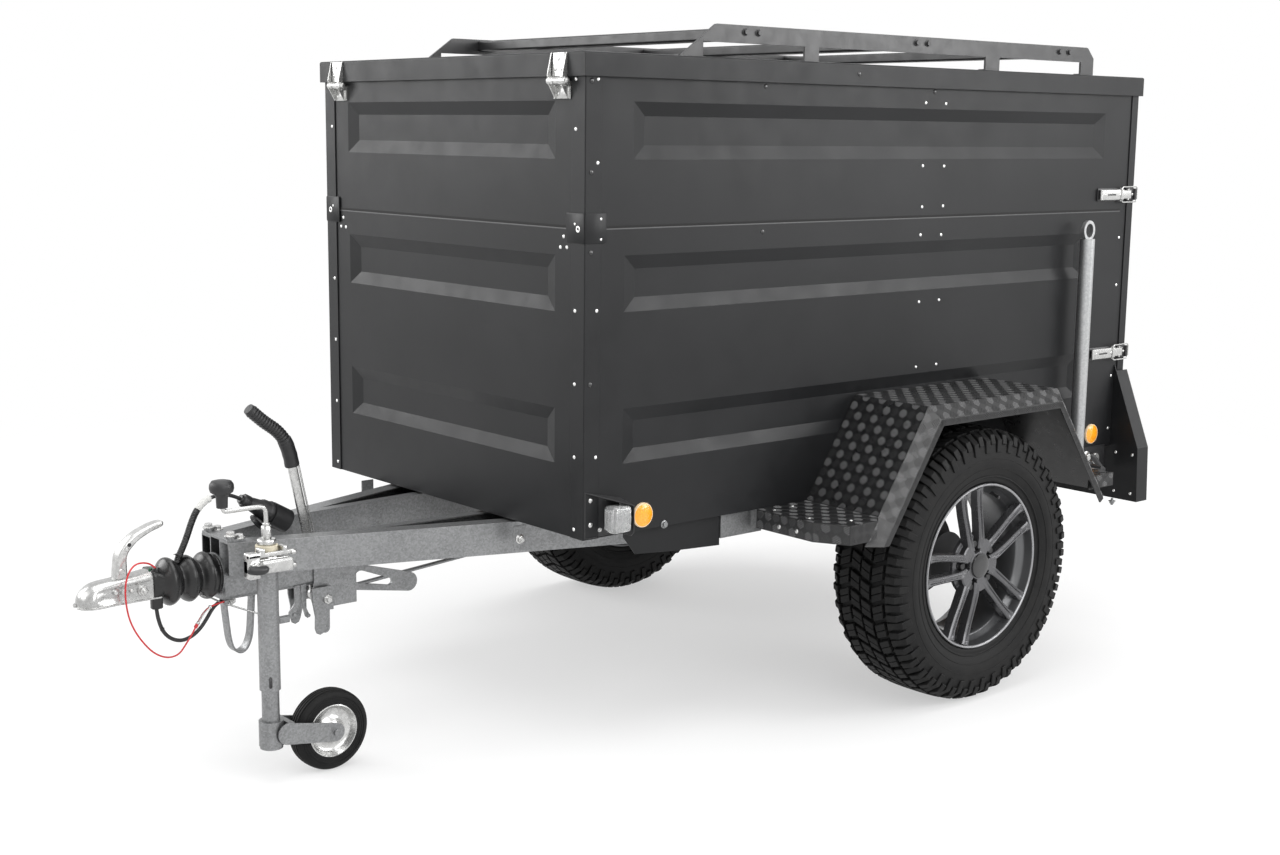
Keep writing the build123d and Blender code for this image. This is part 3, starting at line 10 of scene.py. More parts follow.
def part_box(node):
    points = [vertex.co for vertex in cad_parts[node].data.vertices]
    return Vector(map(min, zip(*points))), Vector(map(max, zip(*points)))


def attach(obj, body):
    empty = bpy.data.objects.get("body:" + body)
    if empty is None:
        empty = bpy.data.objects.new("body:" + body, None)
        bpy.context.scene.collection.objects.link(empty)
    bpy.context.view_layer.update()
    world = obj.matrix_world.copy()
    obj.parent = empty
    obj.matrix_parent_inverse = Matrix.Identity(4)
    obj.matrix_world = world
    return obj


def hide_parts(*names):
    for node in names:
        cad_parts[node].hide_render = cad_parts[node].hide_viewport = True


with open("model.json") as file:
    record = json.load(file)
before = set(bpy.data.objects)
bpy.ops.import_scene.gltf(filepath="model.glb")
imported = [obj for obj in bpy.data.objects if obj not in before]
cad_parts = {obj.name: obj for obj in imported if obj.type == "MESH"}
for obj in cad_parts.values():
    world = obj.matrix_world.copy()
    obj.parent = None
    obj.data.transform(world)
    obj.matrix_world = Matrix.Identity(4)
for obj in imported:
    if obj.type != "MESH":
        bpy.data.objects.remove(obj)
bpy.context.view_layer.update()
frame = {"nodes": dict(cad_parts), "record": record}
nodes = frame["nodes"]
bodyOf = {}
for bodyName, members in frame["record"]["behaviour"]["bodies"].items():
    for member in members:
        bodyOf[member] = bodyName
print("frame loaded:", len(nodes), "nodes")

# Places on the trailer that many pieces share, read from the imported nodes, in metres.
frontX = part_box("corner_posts")[1][0]
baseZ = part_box("left_wall_lower")[0][2]
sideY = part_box("corner_posts")[1][1]
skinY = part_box("left_wall_lower")[1][1]
tyreLow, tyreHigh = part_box("tyre_left")
axleX = (tyreLow[0] + tyreHigh[0]) / 2
axleZ = (tyreHigh[0] - tyreLow[0]) / 2
mm = 0.001


def at(x, y, z):
    # a point given in millimetres: ahead of the box front, left of the middle, above the box's underside
    return np.array([frontX + x * mm, y * mm, baseZ + z * mm])


# Mesh helpers: every new piece is a grid of points worked out as one array.
def gridFaces(rows, cols, wrapRows=False, wrapCols=False):
    # quads between neighbouring rows and columns of a rows x cols grid of points
    i = np.arange(rows if wrapRows else rows - 1)
    j = np.arange(cols if wrapCols else cols - 1)
    a, b = np.meshgrid(i, j, indexing="ij")
    c, d = (a + 1) % rows, (b + 1) % cols
    return np.stack([a * cols + b, a * cols + d, c * cols + d, c * cols + b], -1).reshape(-1, 4)


def makePiece(name, verts, faces, body, material, smooth=40, slot=None):
    # an array of points and index tuples become one piece, doubles merged and normals outward
    mesh = bpy.data.meshes.new(name)
    mesh.from_pydata(np.asarray(verts, float).reshape(-1, 3).tolist(), [],
                     [tuple(map(int, f)) for f in faces])
    work = bmesh.new()
    work.from_mesh(mesh)
    bmesh.ops.remove_doubles(work, verts=work.verts, dist=2e-6)
    bmesh.ops.dissolve_degenerate(work, edges=work.edges, dist=1e-7)
    bmesh.ops.recalc_face_normals(work, faces=work.faces)
    work.to_mesh(mesh)
    work.free()
    piece = bpy.data.objects.new(name, mesh)
    bpy.context.scene.collection.objects.link(piece)
    if smooth:
        mesh.shade_smooth()
        mesh.set_sharp_from_angle(angle=math.radians(smooth))
    mesh.materials.append(material)
    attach(piece, body)
    return piece


def joined(*parts):
    # several (points, faces) shells as one
    verts, faces, start = [], [], 0
    for points, quads in parts:
        points = np.asarray(points, float).reshape(-1, 3)
        verts.append(points)
        faces += [tuple(int(k) + start for k in f) for f in quads]
        start += len(points)
    return np.concatenate(verts), faces


def tube(rings, closed=False):
    # rings (m, n, 3) joined in order; an open tube gets a flat cap on each end
    rings = np.asarray(rings)
    rows, cols = rings.shape[:2]
    faces = [tuple(f) for f in gridFaces(rows, cols, closed, True)]
    if not closed:
        faces += [tuple(range(cols)), tuple(range((rows - 1) * cols, rows * cols))]
    return rings.reshape(-1, 3), faces


def carried(path, section, side, closed=False):
    # a flat section (n, 2) carried along a path: first number along side, second square to path and side
    path = np.asarray(path, float)
    ends = np.roll(path, -1, 0) - np.roll(path, 1, 0) if closed else np.gradient(path, axis=0)
    forward = ends / np.linalg.norm(ends, axis=1, keepdims=True)
    side = np.broadcast_to(np.asarray(side, float), path.shape)
    side = side - (side * forward).sum(1, keepdims=True) * forward
    side = side / np.linalg.norm(side, axis=1, keepdims=True)
    rise = np.cross(forward, side)
    section = np.asarray(section, float)
    return path[:, None] + section[None, :, :1] * side[:, None] + section[None, :, 1:] * rise[:, None]


def facing(direction):
    # a 3 x 3 turn whose third column is the direction
    w = np.asarray(direction, float) / np.linalg.norm(direction)
    helper = np.array([0.0, 0.0, 1.0]) if abs(w[2]) < 0.9 else np.array([1.0, 0.0, 0.0])
    u = np.cross(helper, w)
    u /= np.linalg.norm(u)
    return np.stack([u, np.cross(w, u), w], 1)


def turned(profile, centre, axis, steps=48):
    # a profile of (along the axis, radius) turned round the axis, as rings of points
    profile = np.asarray(profile, float)
    u, v, axis = facing(axis).T
    a = np.linspace(0, 2 * np.pi, steps, endpoint=False)
    spoke = np.cos(a)[:, None] * u + np.sin(a)[:, None] * v
    return np.asarray(centre) + profile[:, None, :1] * axis + profile[:, None, 1:] * spoke[None]


def spun(profile, centre, axis, steps=48, closed=False):
    # the same as one shell: a closed profile has no caps
    return tube(turned(profile, centre, axis, steps), closed)


def ring(radius, count=16):
    # a circle as a closed outline
    a = np.linspace(0, 2 * np.pi, count, endpoint=False)
    return np.stack([radius * np.cos(a), radius * np.sin(a)], 1)


def boxed(width, height, corner, count=4):
    # a rectangle with round corners, as a closed outline
    a = np.linspace(0, np.pi / 2, count)
    quarter = np.stack([np.cos(a), np.sin(a)], 1) * corner
    hub = np.array([width / 2 - corner, height / 2 - corner])
    turns = [np.array([[c, -s], [s, c]]) for c, s in ((1, 0), (0, 1), (-1, 0), (0, -1))]
    hubs = [hub, hub * (-1, 1), -hub, hub * (1, -1)]
    return np.concatenate([quarter @ t.T + h for t, h in zip(turns, hubs)])


def smoothLine(points, count):
    # Catmull-Rom curve through the points, read at evenly spaced parameters
    p = np.asarray(points, float)
    p = np.concatenate([2 * p[:1] - p[1:2], p, 2 * p[-1:] - p[-2:-1]])
    s = np.linspace(0, len(p) - 3 - 1e-9, count)
    i = s.astype(int)
    t = (s - i)[:, None]
    a, b, c, d = p[i], p[i + 1], p[i + 2], p[i + 3]
    return 0.5 * (2 * b + (c - a) * t + (2 * a - 5 * b + 4 * c - d) * t**2 + (3 * b - a - 3 * c + d) * t**3)


def strewn(shell, places, directions):
    # one small shell, drawn along +Z, set at many places, each along its own direction
    points, faces = shell
    turns = np.stack([facing(d) for d in directions])
    verts = np.einsum("kij,nj->kni", turns, points) + np.asarray(places)[:, None]
    shift = (np.arange(len(turns)) * len(points))[:, None, None]
    if all(len(f) == len(faces[0]) for f in faces):
        quads = (np.asarray(faces)[None] + shift).reshape(-1, len(faces[0]))
        return verts.reshape(-1, 3), quads
    return joined(*[(v, faces) for v in verts])


def domeShell(radius, height, steps=12):
    # a button head: a quarter ellipse turned round Z, closed below
    a = np.linspace(0, np.pi / 2, 4)
    profile = np.stack([height * np.sin(a), radius * np.cos(a)], 1)
    return spun(np.concatenate([[[-0.3 * height, radius]], profile]), (0, 0, 0), (0, 0, 1), steps)


def boltShell(width, height, washer=0.0, stud=0.0):
    # a hexagon head on an optional washer, with an optional stud end on top
    hexagon = width / math.sqrt(3)
    rise = 0.0
    shells = []
    if washer:
        rise = 0.18 * height
        flat = [(-0.001, 0), (-0.001, washer), (rise * 0.7, washer), (rise, washer * 0.95), (rise, 0)]
        shells.append(spun(flat, (0, 0, 0), (0, 0, 1), 20))
    head = [(rise - 0.001, 0), (rise - 0.001, hexagon), (rise + 0.85 * height, hexagon),
            (rise + height, 0.86 * hexagon)]
    shells.append(spun(head + [(rise + height, 0)], (0, 0, 0), (0, 0, 1), 6))
    if stud:
        top = rise + height
        end = [(top - 0.001, 0), (top - 0.001, stud), (top + 0.8 * stud, stud), (top + stud, 0.8 * stud),
               (top + stud, 0)]
        shells.append(spun(end, (0, 0, 0), (0, 0, 1), 12))
    return joined(*shells)


print("helpers ready")


# Finishes: all patterns are in metres of the trailer's own frame.
def newFinish(name):
    material = bpy.data.materials.new(name)
    material.use_nodes = True
    return material, material.node_tree, material.node_tree.nodes["Principled BSDF"]


def feed(tree, socket, value):
    # a socket takes a linked value or a plain one
    if isinstance(value, bpy.types.NodeSocket):
        tree.links.new(value, socket)
    else:
        socket.default_value = value


def addNode(tree, kind, inputs=None, **settings):
    made = tree.nodes.new("ShaderNode" + kind)
    for key, value in settings.items():
        setattr(made, key, value)
    for key, value in (inputs or {}).items():
        feed(tree, made.inputs[key], value)
    return made


def inMetres(tree, scale=(1, 1, 1)):
    # object coordinates, packed together by scale
    inputs = {"Vector": addNode(tree, "TexCoord").outputs["Object"], "Scale": scale}
    return addNode(tree, "Mapping", inputs).outputs["Vector"]


def noise(tree, vector, scale, detail=3.0, rough=0.55):
    inputs = {"Vector": vector, "Scale": scale, "Detail": detail, "Roughness": rough}
    return addNode(tree, "TexNoise", inputs).outputs["Fac"]


def cells(tree, vector, scale, feature="F1"):
    return addNode(tree, "TexVoronoi", {"Vector": vector, "Scale": scale}, feature=feature)


def remap(tree, value, low, high, toLow, toHigh):
    inputs = {"Value": value, "From Min": low, "From Max": high, "To Min": toLow, "To Max": toHigh}
    return addNode(tree, "MapRange", inputs).outputs["Result"]


def blendColours(tree, fac, a, b):
    return addNode(tree, "Mix", {0: fac, 6: (*a, 1), 7: (*b, 1)}, data_type="RGBA").outputs[2]


def calculate(tree, operation, a, b=0.0):
    return addNode(tree, "Math", {0: a, 1: b}, operation=operation).outputs[0]


def bumped(tree, height, strength, distance, roundEdge=0.0):
    inputs = {"Height": height, "Strength": strength, "Distance": distance}
    if roundEdge:
        inputs["Normal"] = addNode(tree, "Bevel", {"Radius": roundEdge}, samples=4).outputs["Normal"]
    return addNode(tree, "Bump", inputs).outputs["Normal"]


def wire(tree, shader, **sockets):
    # the shader's sockets by name, a colour given as three numbers
    for key, value in sockets.items():
        if isinstance(value, tuple):
            value = (*value, 1)
        feed(tree, shader.inputs[key.replace("_", " ")], value)


def seenDirectly(tree):
    # one for rays from the camera, a reflection or a clear lens, zero for the light that falls on things
    rays = addNode(tree, "LightPath").outputs
    seen = calculate(tree, "MAXIMUM", rays["Is Camera Ray"], rays["Is Transmission Ray"])
    return calculate(tree, "MAXIMUM", seen, rays["Is Glossy Ray"])


def texturedCoat():
    # black polyester powder coat with a fine orange-peel grain and faint dust
    material, tree, shader = newFinish("texturedCoat")
    points = inMetres(tree)
    grain = noise(tree, points, 900, 2)
    soft = noise(tree, points, 3.5, 4)
    colour = blendColours(tree, remap(tree, soft, 0.35, 0.7, 0, 1), (0.0075, 0.0078, 0.0085),
                          (0.012, 0.0123, 0.0133))
    roughness = remap(tree, noise(tree, points, 14, 4), 0.3, 0.7, 0.36, 0.47)
    normal = bumped(tree, grain, 0.45, 0.00035, 0.0012)
    wire(tree, shader, Base_Color=colour, Roughness=roughness, Normal=normal, Specular_IOR_Level=0.25)
    return material


def steelFinish(name, dark, light, low, high, spangle, scratches, bump=0.2):
    # zinc-covered steel: crystals of slightly different tone, cloudy roughness and fine drawn lines
    material, tree, shader = newFinish(name)
    points = inMetres(tree)
    crystal = cells(tree, points, spangle).outputs["Color"]
    tone = addNode(tree, "SeparateColor", {"Color": crystal}).outputs["Red"]
    cloud = noise(tree, points, 9, 5, 0.6)
    amount = calculate(tree, "ADD", calculate(tree, "MULTIPLY", tone, 0.45),
                       calculate(tree, "MULTIPLY", cloud, 0.75))
    colour = blendColours(tree, remap(tree, amount, 0.25, 0.85, 0, 1), dark, light)
    roughness = remap(tree, amount, 0.2, 0.9, high, low)
    lines = noise(tree, inMetres(tree, (1, 60, 60)), 12, 3)
    height = calculate(tree, "ADD", calculate(tree, "MULTIPLY", lines, scratches),
                       calculate(tree, "MULTIPLY", cloud, 0.5))
    normal = bumped(tree, height, bump, 0.0006, 0.0012)
    wire(tree, shader, Base_Color=colour, Roughness=roughness, Metallic=0.9, Normal=normal)
    return material


def blackPaint(name, tone, low, high, coat=0.0):
    # smooth black paint or moulded plastic with a cloudy gloss
    material, tree, shader = newFinish(name)
    points = inMetres(tree)
    cloud = noise(tree, points, 22, 4)
    colour = blendColours(tree, cloud, tuple(0.8 * c for c in tone), tuple(1.25 * c for c in tone))
    roughness = remap(tree, cloud, 0.3, 0.7, low, high)
    normal = bumped(tree, noise(tree, points, 1300, 2), 0.25, 0.0002, 0.001)
    wire(tree, shader, Base_Color=colour, Roughness=roughness, Normal=normal, Coat_Weight=coat)
    return material


def treadPlate():
    # black coating between the raised bars, which are pieces with finishes of their own
    material, tree, shader = newFinish("treadPlate")
    points = inMetres(tree)
    cloud = noise(tree, points, 6, 5)
    colour = blendColours(tree, cloud, (0.006, 0.006, 0.0065), (0.013, 0.013, 0.0135))
    roughness = remap(tree, noise(tree, points, 35, 4), 0.3, 0.7, 0.24, 0.40)
    normal = bumped(tree, noise(tree, points, 1100, 2), 0.25, 0.0002, 0.001)
    wire(tree, shader, Base_Color=colour, Roughness=roughness, Normal=normal)
    return material


def tyreRubber():
    # matt rubber with clouds of grey dust and a fine grain
    material, tree, shader = newFinish("tyreRubber")
    points = inMetres(tree)
    dust = noise(tree, points, 28, 6, 0.65)
    colour = blendColours(tree, remap(tree, dust, 0.42, 0.72, 0, 1), (0.004, 0.004, 0.0042),
                          (0.013, 0.0128, 0.0125))
    roughness = remap(tree, dust, 0.3, 0.7, 0.5, 0.72)
    height = calculate(tree, "ADD", noise(tree, points, 420, 4), noise(tree, points, 60, 3))
    normal = bumped(tree, height, 0.5, 0.0006)
    wire(tree, shader, Base_Color=colour, Roughness=roughness, Normal=normal, Specular_IOR_Level=0.2)
    return material


def softRubber():
    material, tree, shader = newFinish("softRubber")
    points = inMetres(tree)
    bloom = noise(tree, points, 40, 5, 0.6)
    colour = blendColours(tree, bloom, (0.004, 0.004, 0.0045), (0.012, 0.012, 0.012))
    roughness = remap(tree, bloom, 0.3, 0.7, 0.22, 0.38)
    wire(tree, shader, Base_Color=colour, Roughness=roughness, Normal=bumped(tree, bloom, 0.2, 0.0006))
    return material


def alloyLacquer(name, tone, low, high):
    # metal-flake lacquer: tiny cells of different brightness under a clear coat
    material, tree, shader = newFinish(name)
    points = inMetres(tree)
    flake = cells(tree, points, 2600).outputs["Color"]
    sparkle = addNode(tree, "SeparateColor", {"Color": flake}).outputs["Green"]
    colour = blendColours(tree, sparkle, tuple(0.88 * c for c in tone), tuple(1.15 * c for c in tone))
    roughness = remap(tree, noise(tree, points, 18, 4), 0.3, 0.7, low, high)
    normal = bumped(tree, noise(tree, points, 40, 3), 0.06, 0.0004, 0.0022)
    wire(tree, shader, Base_Color=colour, Roughness=roughness, Metallic=0.75, Normal=normal)
    wire(tree, shader, Coat_Weight=0.4, Coat_Roughness=0.12)
    return material


def lensPlastic(name, tone, rib, see=0.0):
    # moulded lens: small prisms behind the surface, glossy outside
    material, tree, shader = newFinish(name)
    points = inMetres(tree)
    prism = cells(tree, points, rib).outputs["Distance"]
    colour = blendColours(tree, remap(tree, prism, 0.0, 0.9, 0, 1), tone,
                          tuple(min(1, 1.5 * c) for c in tone))
    wire(tree, shader, Base_Color=colour, Roughness=0.12, Normal=bumped(tree, prism, 0.5, 0.0012))
    wire(tree, shader, Transmission_Weight=see, IOR=1.49, Coat_Weight=0.6, Coat_Roughness=0.05)
    return material


def paleCover():
    # white reflective sheet of the blank plate, with its fine honeycomb
    material, tree, shader = newFinish("paleCover")
    points = inMetres(tree)
    comb = cells(tree, points, 320, "DISTANCE_TO_EDGE").outputs["Distance"]
    colour = blendColours(tree, remap(tree, comb, 0, 0.08, 0, 1), (0.62, 0.63, 0.62), (0.78, 0.78, 0.76))
    wire(tree, shader, Base_Color=colour, Roughness=0.32, Normal=bumped(tree, comb, 0.1, 0.0003))
    return material


def filmPly():
    # brown phenolic film over plywood, with the mesh print of a trailer floor
    material, tree, shader = newFinish("filmPly")
    grain = noise(tree, inMetres(tree, (1, 12, 12)), 9, 5)
    colour = blendColours(tree, grain, (0.045, 0.026, 0.017), (0.105, 0.060, 0.038))
    mesh = cells(tree, inMetres(tree), 260, "DISTANCE_TO_EDGE").outputs["Distance"]
    wire(tree, shader, Base_Color=colour, Roughness=0.42, Normal=bumped(tree, mesh, 0.35, 0.0005))
    return material


def plainPlastic(name, tone, roughness):
    material, tree, shader = newFinish(name)
    points = inMetres(tree)
    grain = noise(tree, points, 500, 3)
    colour = blendColours(tree, grain, tuple(0.85 * c for c in tone), tone)
    wire(tree, shader, Base_Color=colour, Roughness=roughness, Normal=bumped(tree, grain, 0.2, 0.0003))
    return material


coat = texturedCoat()
zincDip = steelFinish("galvanised", (0.19, 0.193, 0.196), (0.30, 0.304, 0.308), 0.36, 0.50, 260, 0.4)
zincPlate = steelFinish("brightZinc", (0.44, 0.44, 0.435), (0.62, 0.62, 0.61), 0.22, 0.34, 160, 0.1,
                        bump=0.08)
zincCast = steelFinish("castZinc", (0.34, 0.34, 0.335), (0.50, 0.50, 0.495), 0.20, 0.34, 300, 0.1,
                       bump=0.08)
zincSpring = steelFinish("springGalvanised", (0.34, 0.345, 0.35), (0.47, 0.475, 0.475), 0.34, 0.5, 220, 0.2,
                         bump=0.12)
satinBlack = blackPaint("satinBlack", (0.017, 0.017, 0.018), 0.30, 0.45)
darkPlastic = blackPaint("darkPlastic", (0.014, 0.014, 0.015), 0.38, 0.55)
chassisBlack = blackPaint("chassisBlack", (0.020, 0.020, 0.021), 0.45, 0.65)
tread = treadPlate()
rubberTyre = tyreRubber()
rubberSoft = softRubber()
alloy = alloyLacquer("alloy", (0.10, 0.10, 0.105), 0.22, 0.34)
# a lighter copy of the alloy lacquer: painted highlight for the wheel's lip
alloyLipHighlight = alloyLacquer("alloyLipHighlight", (0.30, 0.30, 0.31), 0.24, 0.36)
alloyBarrel = alloyLacquer("alloyBarrel", (0.13, 0.132, 0.136), 0.26, 0.38)
glossBlack = blackPaint("glossBlack", (0.010, 0.010, 0.0105), 0.10, 0.2, 0.5)
treadTop = blackPaint("treadTop", (0.022, 0.0222, 0.023), 0.3, 0.4)
# a lighter copy of the bar finish: painted highlight on one group of bars on the mudguards' tilted faces
treadHighlight = blackPaint("treadHighlight", (0.15, 0.15, 0.152), 0.25, 0.35)
# near-black matt finish for the painted shade in the joint between the wall sheets
paintedGapShade = plainPlastic("paintedGapShade", (0.002, 0.002, 0.002), 0.8)
# lighter black finish for the painted highlight on the lower wall sheet's folded edge
paintedFoldHighlight = blackPaint("paintedFoldHighlight", (0.06, 0.06, 0.062), 0.3, 0.4)
rivetSteel = steelFinish("rivetSteel", (0.70, 0.70, 0.69), (0.86, 0.86, 0.85), 0.22, 0.34, 700, 0.1)
amberLens = lensPlastic("amberLens", (0.83, 0.27, 0.012), 210)
amberRim = plainPlastic("amberRim", (0.80, 0.62, 0.40), 0.3)
redLens = lensPlastic("redLens", (0.40, 0.012, 0.012), 150)
clearLens = lensPlastic("clearLens", (0.80, 0.82, 0.82), 120, see=0.75)
blankPlate = paleCover()
plyFilm = filmPly()
redSheath = plainPlastic("redSheath", (0.55, 0.02, 0.025), 0.35)
blackSheath = plainPlastic("blackSheath", (0.014, 0.014, 0.015), 0.45)
paleBand = plainPlastic("paleBand", (0.62, 0.62, 0.60), 0.5)
creamPlastic = plainPlastic("creamPlastic", (0.62, 0.57, 0.44), 0.4)
greenCap = plainPlastic("greenCap", (0.012, 0.10, 0.05), 0.4)

cadFinish = {
    coat: ["left_wall_lower", "left_wall_upper", "right_wall_lower", "right_wall_upper", "front_wall_lower",
           "front_wall_upper", "corner_posts", "top_frame", "lid", "tailgate", "rear_flap",
           "light_carrier"],
    zincDip: ["floor_frame", "chassis_rails", "drawbar_left", "drawbar_right", "drawbar_bridge",
              "axle_beam", "overrun_housing", "brake_linkage", "drawbar_strap",
              "jockey_tube", "jockey_leg", "jockey_fork"],
    zincPlate: ["hinge_mounts", "lid_hinge_straps", "tailgate_fittings", "flap_fittings", "side_latches",
                "coupling_handle", "handbrake_lever", "jockey_clamp", "jockey_crank", "jockey_rim"],
    zincSpring: ["stand_left", "stand_right"],
    zincCast: ["coupling_head"],
    satinBlack: ["roof_rails", "roof_bars", "stand_clamps"],
    chassisBlack: ["swing_arms", "hub_drum_left", "hub_drum_right"],
    tread: ["mudguard_left", "mudguard_right"],
    alloy: ["rim_left", "rim_right"],
    rubberTyre: ["tyre_left", "tyre_right", "jockey_tyre"],
    rubberSoft: ["gaiter"],
    darkPlastic: ["plug_holder", "lead_plug"],
    clearLens: ["position_lamps"],
    redLens: ["tail_lamps"],
    blankPlate: ["number_plate"],
    plyFilm: ["floor_panel"],
    blackSheath: ["tow_lead", "cable_loop"],
    redSheath: ["breakaway_cable"],
}
for finish, names in cadFinish.items():
    for name in names:
        nodes[name].data.materials.clear()
        nodes[name].data.materials.append(finish)
print("finishes on the packed nodes")


# Shapes given in millimetres of the box's own frame: x ahead of its front, y left, z above its underside.
def placed(points):
    return at(0, 0, 0) + np.asarray(points, float) * mm


def boxPiece(name, shells, body, material, smooth=40, slot=None):
    points, faces = joined(*shells)
    return makePiece(name, placed(points), faces, body, material, smooth, slot)


def slab(low, high, axis=2, corner=2.0, edge=0.8):
    # a block between two corners: four long edges rounded, both ends along axis bevelled
    low, high = np.asarray(low, float), np.asarray(high, float)
    others = [k for k in range(3) if k != axis]
    size, middle = (high - low)[others], ((high + low) / 2)[others]
    ends = [(low[axis], edge), (low[axis] + edge, 0), (high[axis] - edge, 0), (high[axis], edge)]
    rings = []
    for place, inset in ends:
        outline = boxed(size[0] - 2 * inset, size[1] - 2 * inset, corner) + middle
        rings.append(np.insert(outline, axis, place, axis=1))
    return tube(rings)


def rod(a, b, radius, steps=20, edge=0.8):
    # a round bar from a to b with bevelled ends
    a, b = np.asarray(a, float), np.asarray(b, float)
    long = np.linalg.norm(b - a)
    profile = [(0, radius - edge), (edge, radius), (long - edge, radius), (long, radius - edge)]
    return spun(profile, a, b - a, steps)


def bent(path, radius, steps=14):
    # a round bar along a path
    return tube(carried(path, ring(radius, steps), (0, 1, 0)))


def swollen(path, size, steps=14):
    # a round bar along a path, with a radius for every point
    rings = carried(path, ring(1.0, steps), (0, 1, 0))
    return tube(path[:, None] + (rings - path[:, None]) * size[:, None, None])


def plate(outline, low, high, axis=1, edge=0.6):
    # a flat plate of any outline (n, 2) in the other two axes, between low and high along axis
    outline = np.asarray(outline, float)
    centre = outline.mean(0)
    reach = np.linalg.norm(outline - centre, axis=1, keepdims=True)
    inner = centre + (outline - centre) * (1 - edge / reach)
    stack = [(low, inner), (low + edge, outline), (high - edge, outline), (high, inner)]
    return tube([np.insert(shape, axis, place, axis=1) for place, shape in stack])


def seated(places, direction, *names):
    # each place is moved along direction until it meets one of the named nodes: points and outward normals
    found, normals = [], []
    trees = []
    for name in names:
        mesh = nodes[name].data
        corners = np.empty(len(mesh.vertices) * 3)
        mesh.vertices.foreach_get("co", corners)
        trees.append(BVHTree.FromPolygons(corners.reshape(-1, 3).tolist(),
                                          [tuple(p.vertices) for p in mesh.polygons]))
    direction = Vector(direction)
    for place in placed(places):
        hits = [tree.ray_cast(Vector(place), direction) for tree in trees]
        hits = [hit for hit in hits if hit[0] is not None]
        if hits:
            nearest = min(hits, key=lambda hit: hit[3])
            facingOut = nearest[1] if nearest[1].dot(direction) < 0 else -nearest[1]
            found.append(tuple(nearest[0]))
            normals.append(tuple(facingOut))
    return np.array(found), np.array(normals)


def gathered(sets):
    # the places and the normals of several seated() results, each as one array
    return [np.concatenate(part) for part in zip(*sets)]


# Free cords: the tow lead with its plug, the loop under the gaiter and the breakaway cable.
cordRoutes = {
    "tow_lead": [(737, 0, -51.4), (731, 0, -36), (719, -1, -16), (706, -3, 11), (694, -6, 38),
                 (678, -11, 63), (655, -18, 80), (628, -27, 86), (598, -35, 85), (572, -39, 79),
                 (553.7, -40, 69.2)],
    "cable_loop": [(800, 22, -133), (798, 22, -156), (792, 22, -182), (782, 22, -204), (764, 22, -221),
                   (740, 22, -229), (715, 22, -223), (694, 22, -208), (677, 21, -188), (662, 20, -167),
                   (648, 19, -156), (632, 18, -150)],
    "breakaway_cable": [(795, 24, -52), (808, 26, -38), (828, 33, -29), (852, 40, -27), (868, 43, -39),
                        (877, 44, -58), (881, 44, -83), (880, 44, -113), (875, 44, -145), (864, 44, -175),
                        (847, 44, -204), (825, 43, -232), (801, 42, -250), (778, 41, -257), (756, 40, -253),
                        (740, 38, -236), (722, 37, -213), (706, 36, -188), (688, 35, -164), (664, 34, -153),
                        (636, 32, -151)],
}


def cordCurve(name, route, diameter, finish):
    # a NURBS spline with the route's points as its control points; its own line comes back as well, in mm
    curve = bpy.data.curves.new(name, "CURVE")
    curve.dimensions = "3D"
    spline = curve.splines.new("NURBS")
    spline.points.add(len(route) - 1)
    spline.points.foreach_set("co", np.column_stack([placed(route), np.ones(len(route))]).ravel())
    spline.order_u = 3
    spline.use_endpoint_u = True
    curve.resolution_u = 16
    piece = bpy.data.objects.new(name, curve)
    bpy.context.scene.collection.objects.link(piece)
    bare = bpy.data.meshes.new_from_object(piece)
    line = np.empty(len(bare.vertices) * 3)
    bare.vertices.foreach_get("co", line)
    bpy.data.meshes.remove(bare)
    line = (line.reshape(-1, 3) - at(0, 0, 0)) / mm
    curve.bevel_depth = diameter / 2 * mm
    curve.bevel_resolution = 5
    curve.use_fill_caps = True
    curve.materials.append(finish)
    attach(piece, "trailer")
    return piece, line


def stretch(line, start, end, count):
    # evenly spaced points of a line between two arc lengths
    length = np.concatenate([[0], np.cumsum(np.linalg.norm(np.diff(line, axis=0), axis=1))])
    s = np.linspace(start, end, count)
    return np.stack([np.interp(s, length, line[:, k]) for k in range(3)], 1), s


def sleeve(line, start, end, radius, ripple=0.0, pitch=4.0, steps=14, each=1.0):
    # a tube round part of a cord, its radius rippled along it
    path, s = stretch(line, start, end, max(3, int((end - start) / each)))
    size = radius + ripple * np.sin(2 * np.pi * (s - start) / pitch)
    size[[0, -1]] = radius - 0.6 - ripple
    return swollen(path, size, steps)


leadShape = {"diameter": 9, "length": 0.266, "sleeveFrom": 2, "sleeveTo": 134, "paleBandTo": 176, "sleeve": 7.8}
lead, leadLine = cordCurve("towLead", cordRoutes["tow_lead"], leadShape["diameter"], blackSheath)
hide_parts("tow_lead")
cover = sleeve(leadLine, leadShape["sleeveFrom"], leadShape["sleeveTo"], leadShape["sleeve"], 0.55, 3.6)
boxPiece("leadSleeve", [cover], "trailer", rubberSoft, slot="black_lead")
# a pale band round the lead from the sleeve's end towards the plug
paleBandShell = sleeve(leadLine, leadShape["sleeveTo"] - 3, leadShape["paleBandTo"], 8.6, 0.25, 19, 16, 2)
boxPiece("leadPaleBand", [paleBandShell], "trailer", paleBand)


def cableTie(line, place, radius, tail):
    # a narrow strap round a cord with its lock and a cut tail
    path, _ = stretch(line, place - 1.6, place + 1.6, 3)
    middle = path[1]
    tail = np.asarray(tail, float) / np.linalg.norm(tail)
    strap = tube(carried(path, ring(radius, 14), (0, 1, 0)))
    lock = rod(middle + tail * (radius - 1), middle + tail * (radius + 4), 2.4, 8, 0.5)
    end = rod(middle + tail * (radius + 3), middle + tail * (radius + 10), 1.0, 6, 0.3)
    return [strap, lock, end]


loop, loopLine = cordCurve("cableLoop", cordRoutes["cable_loop"], 9, blackSheath)
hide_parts("cable_loop")
ties = cableTie(leadLine, 20, 8.6, (0.9, 0.3, 0.3)) + cableTie(loopLine, 62, 5.2, (0.1, 0.9, 0.5))
boxPiece("cableTies", ties, "trailer", darkPlastic)

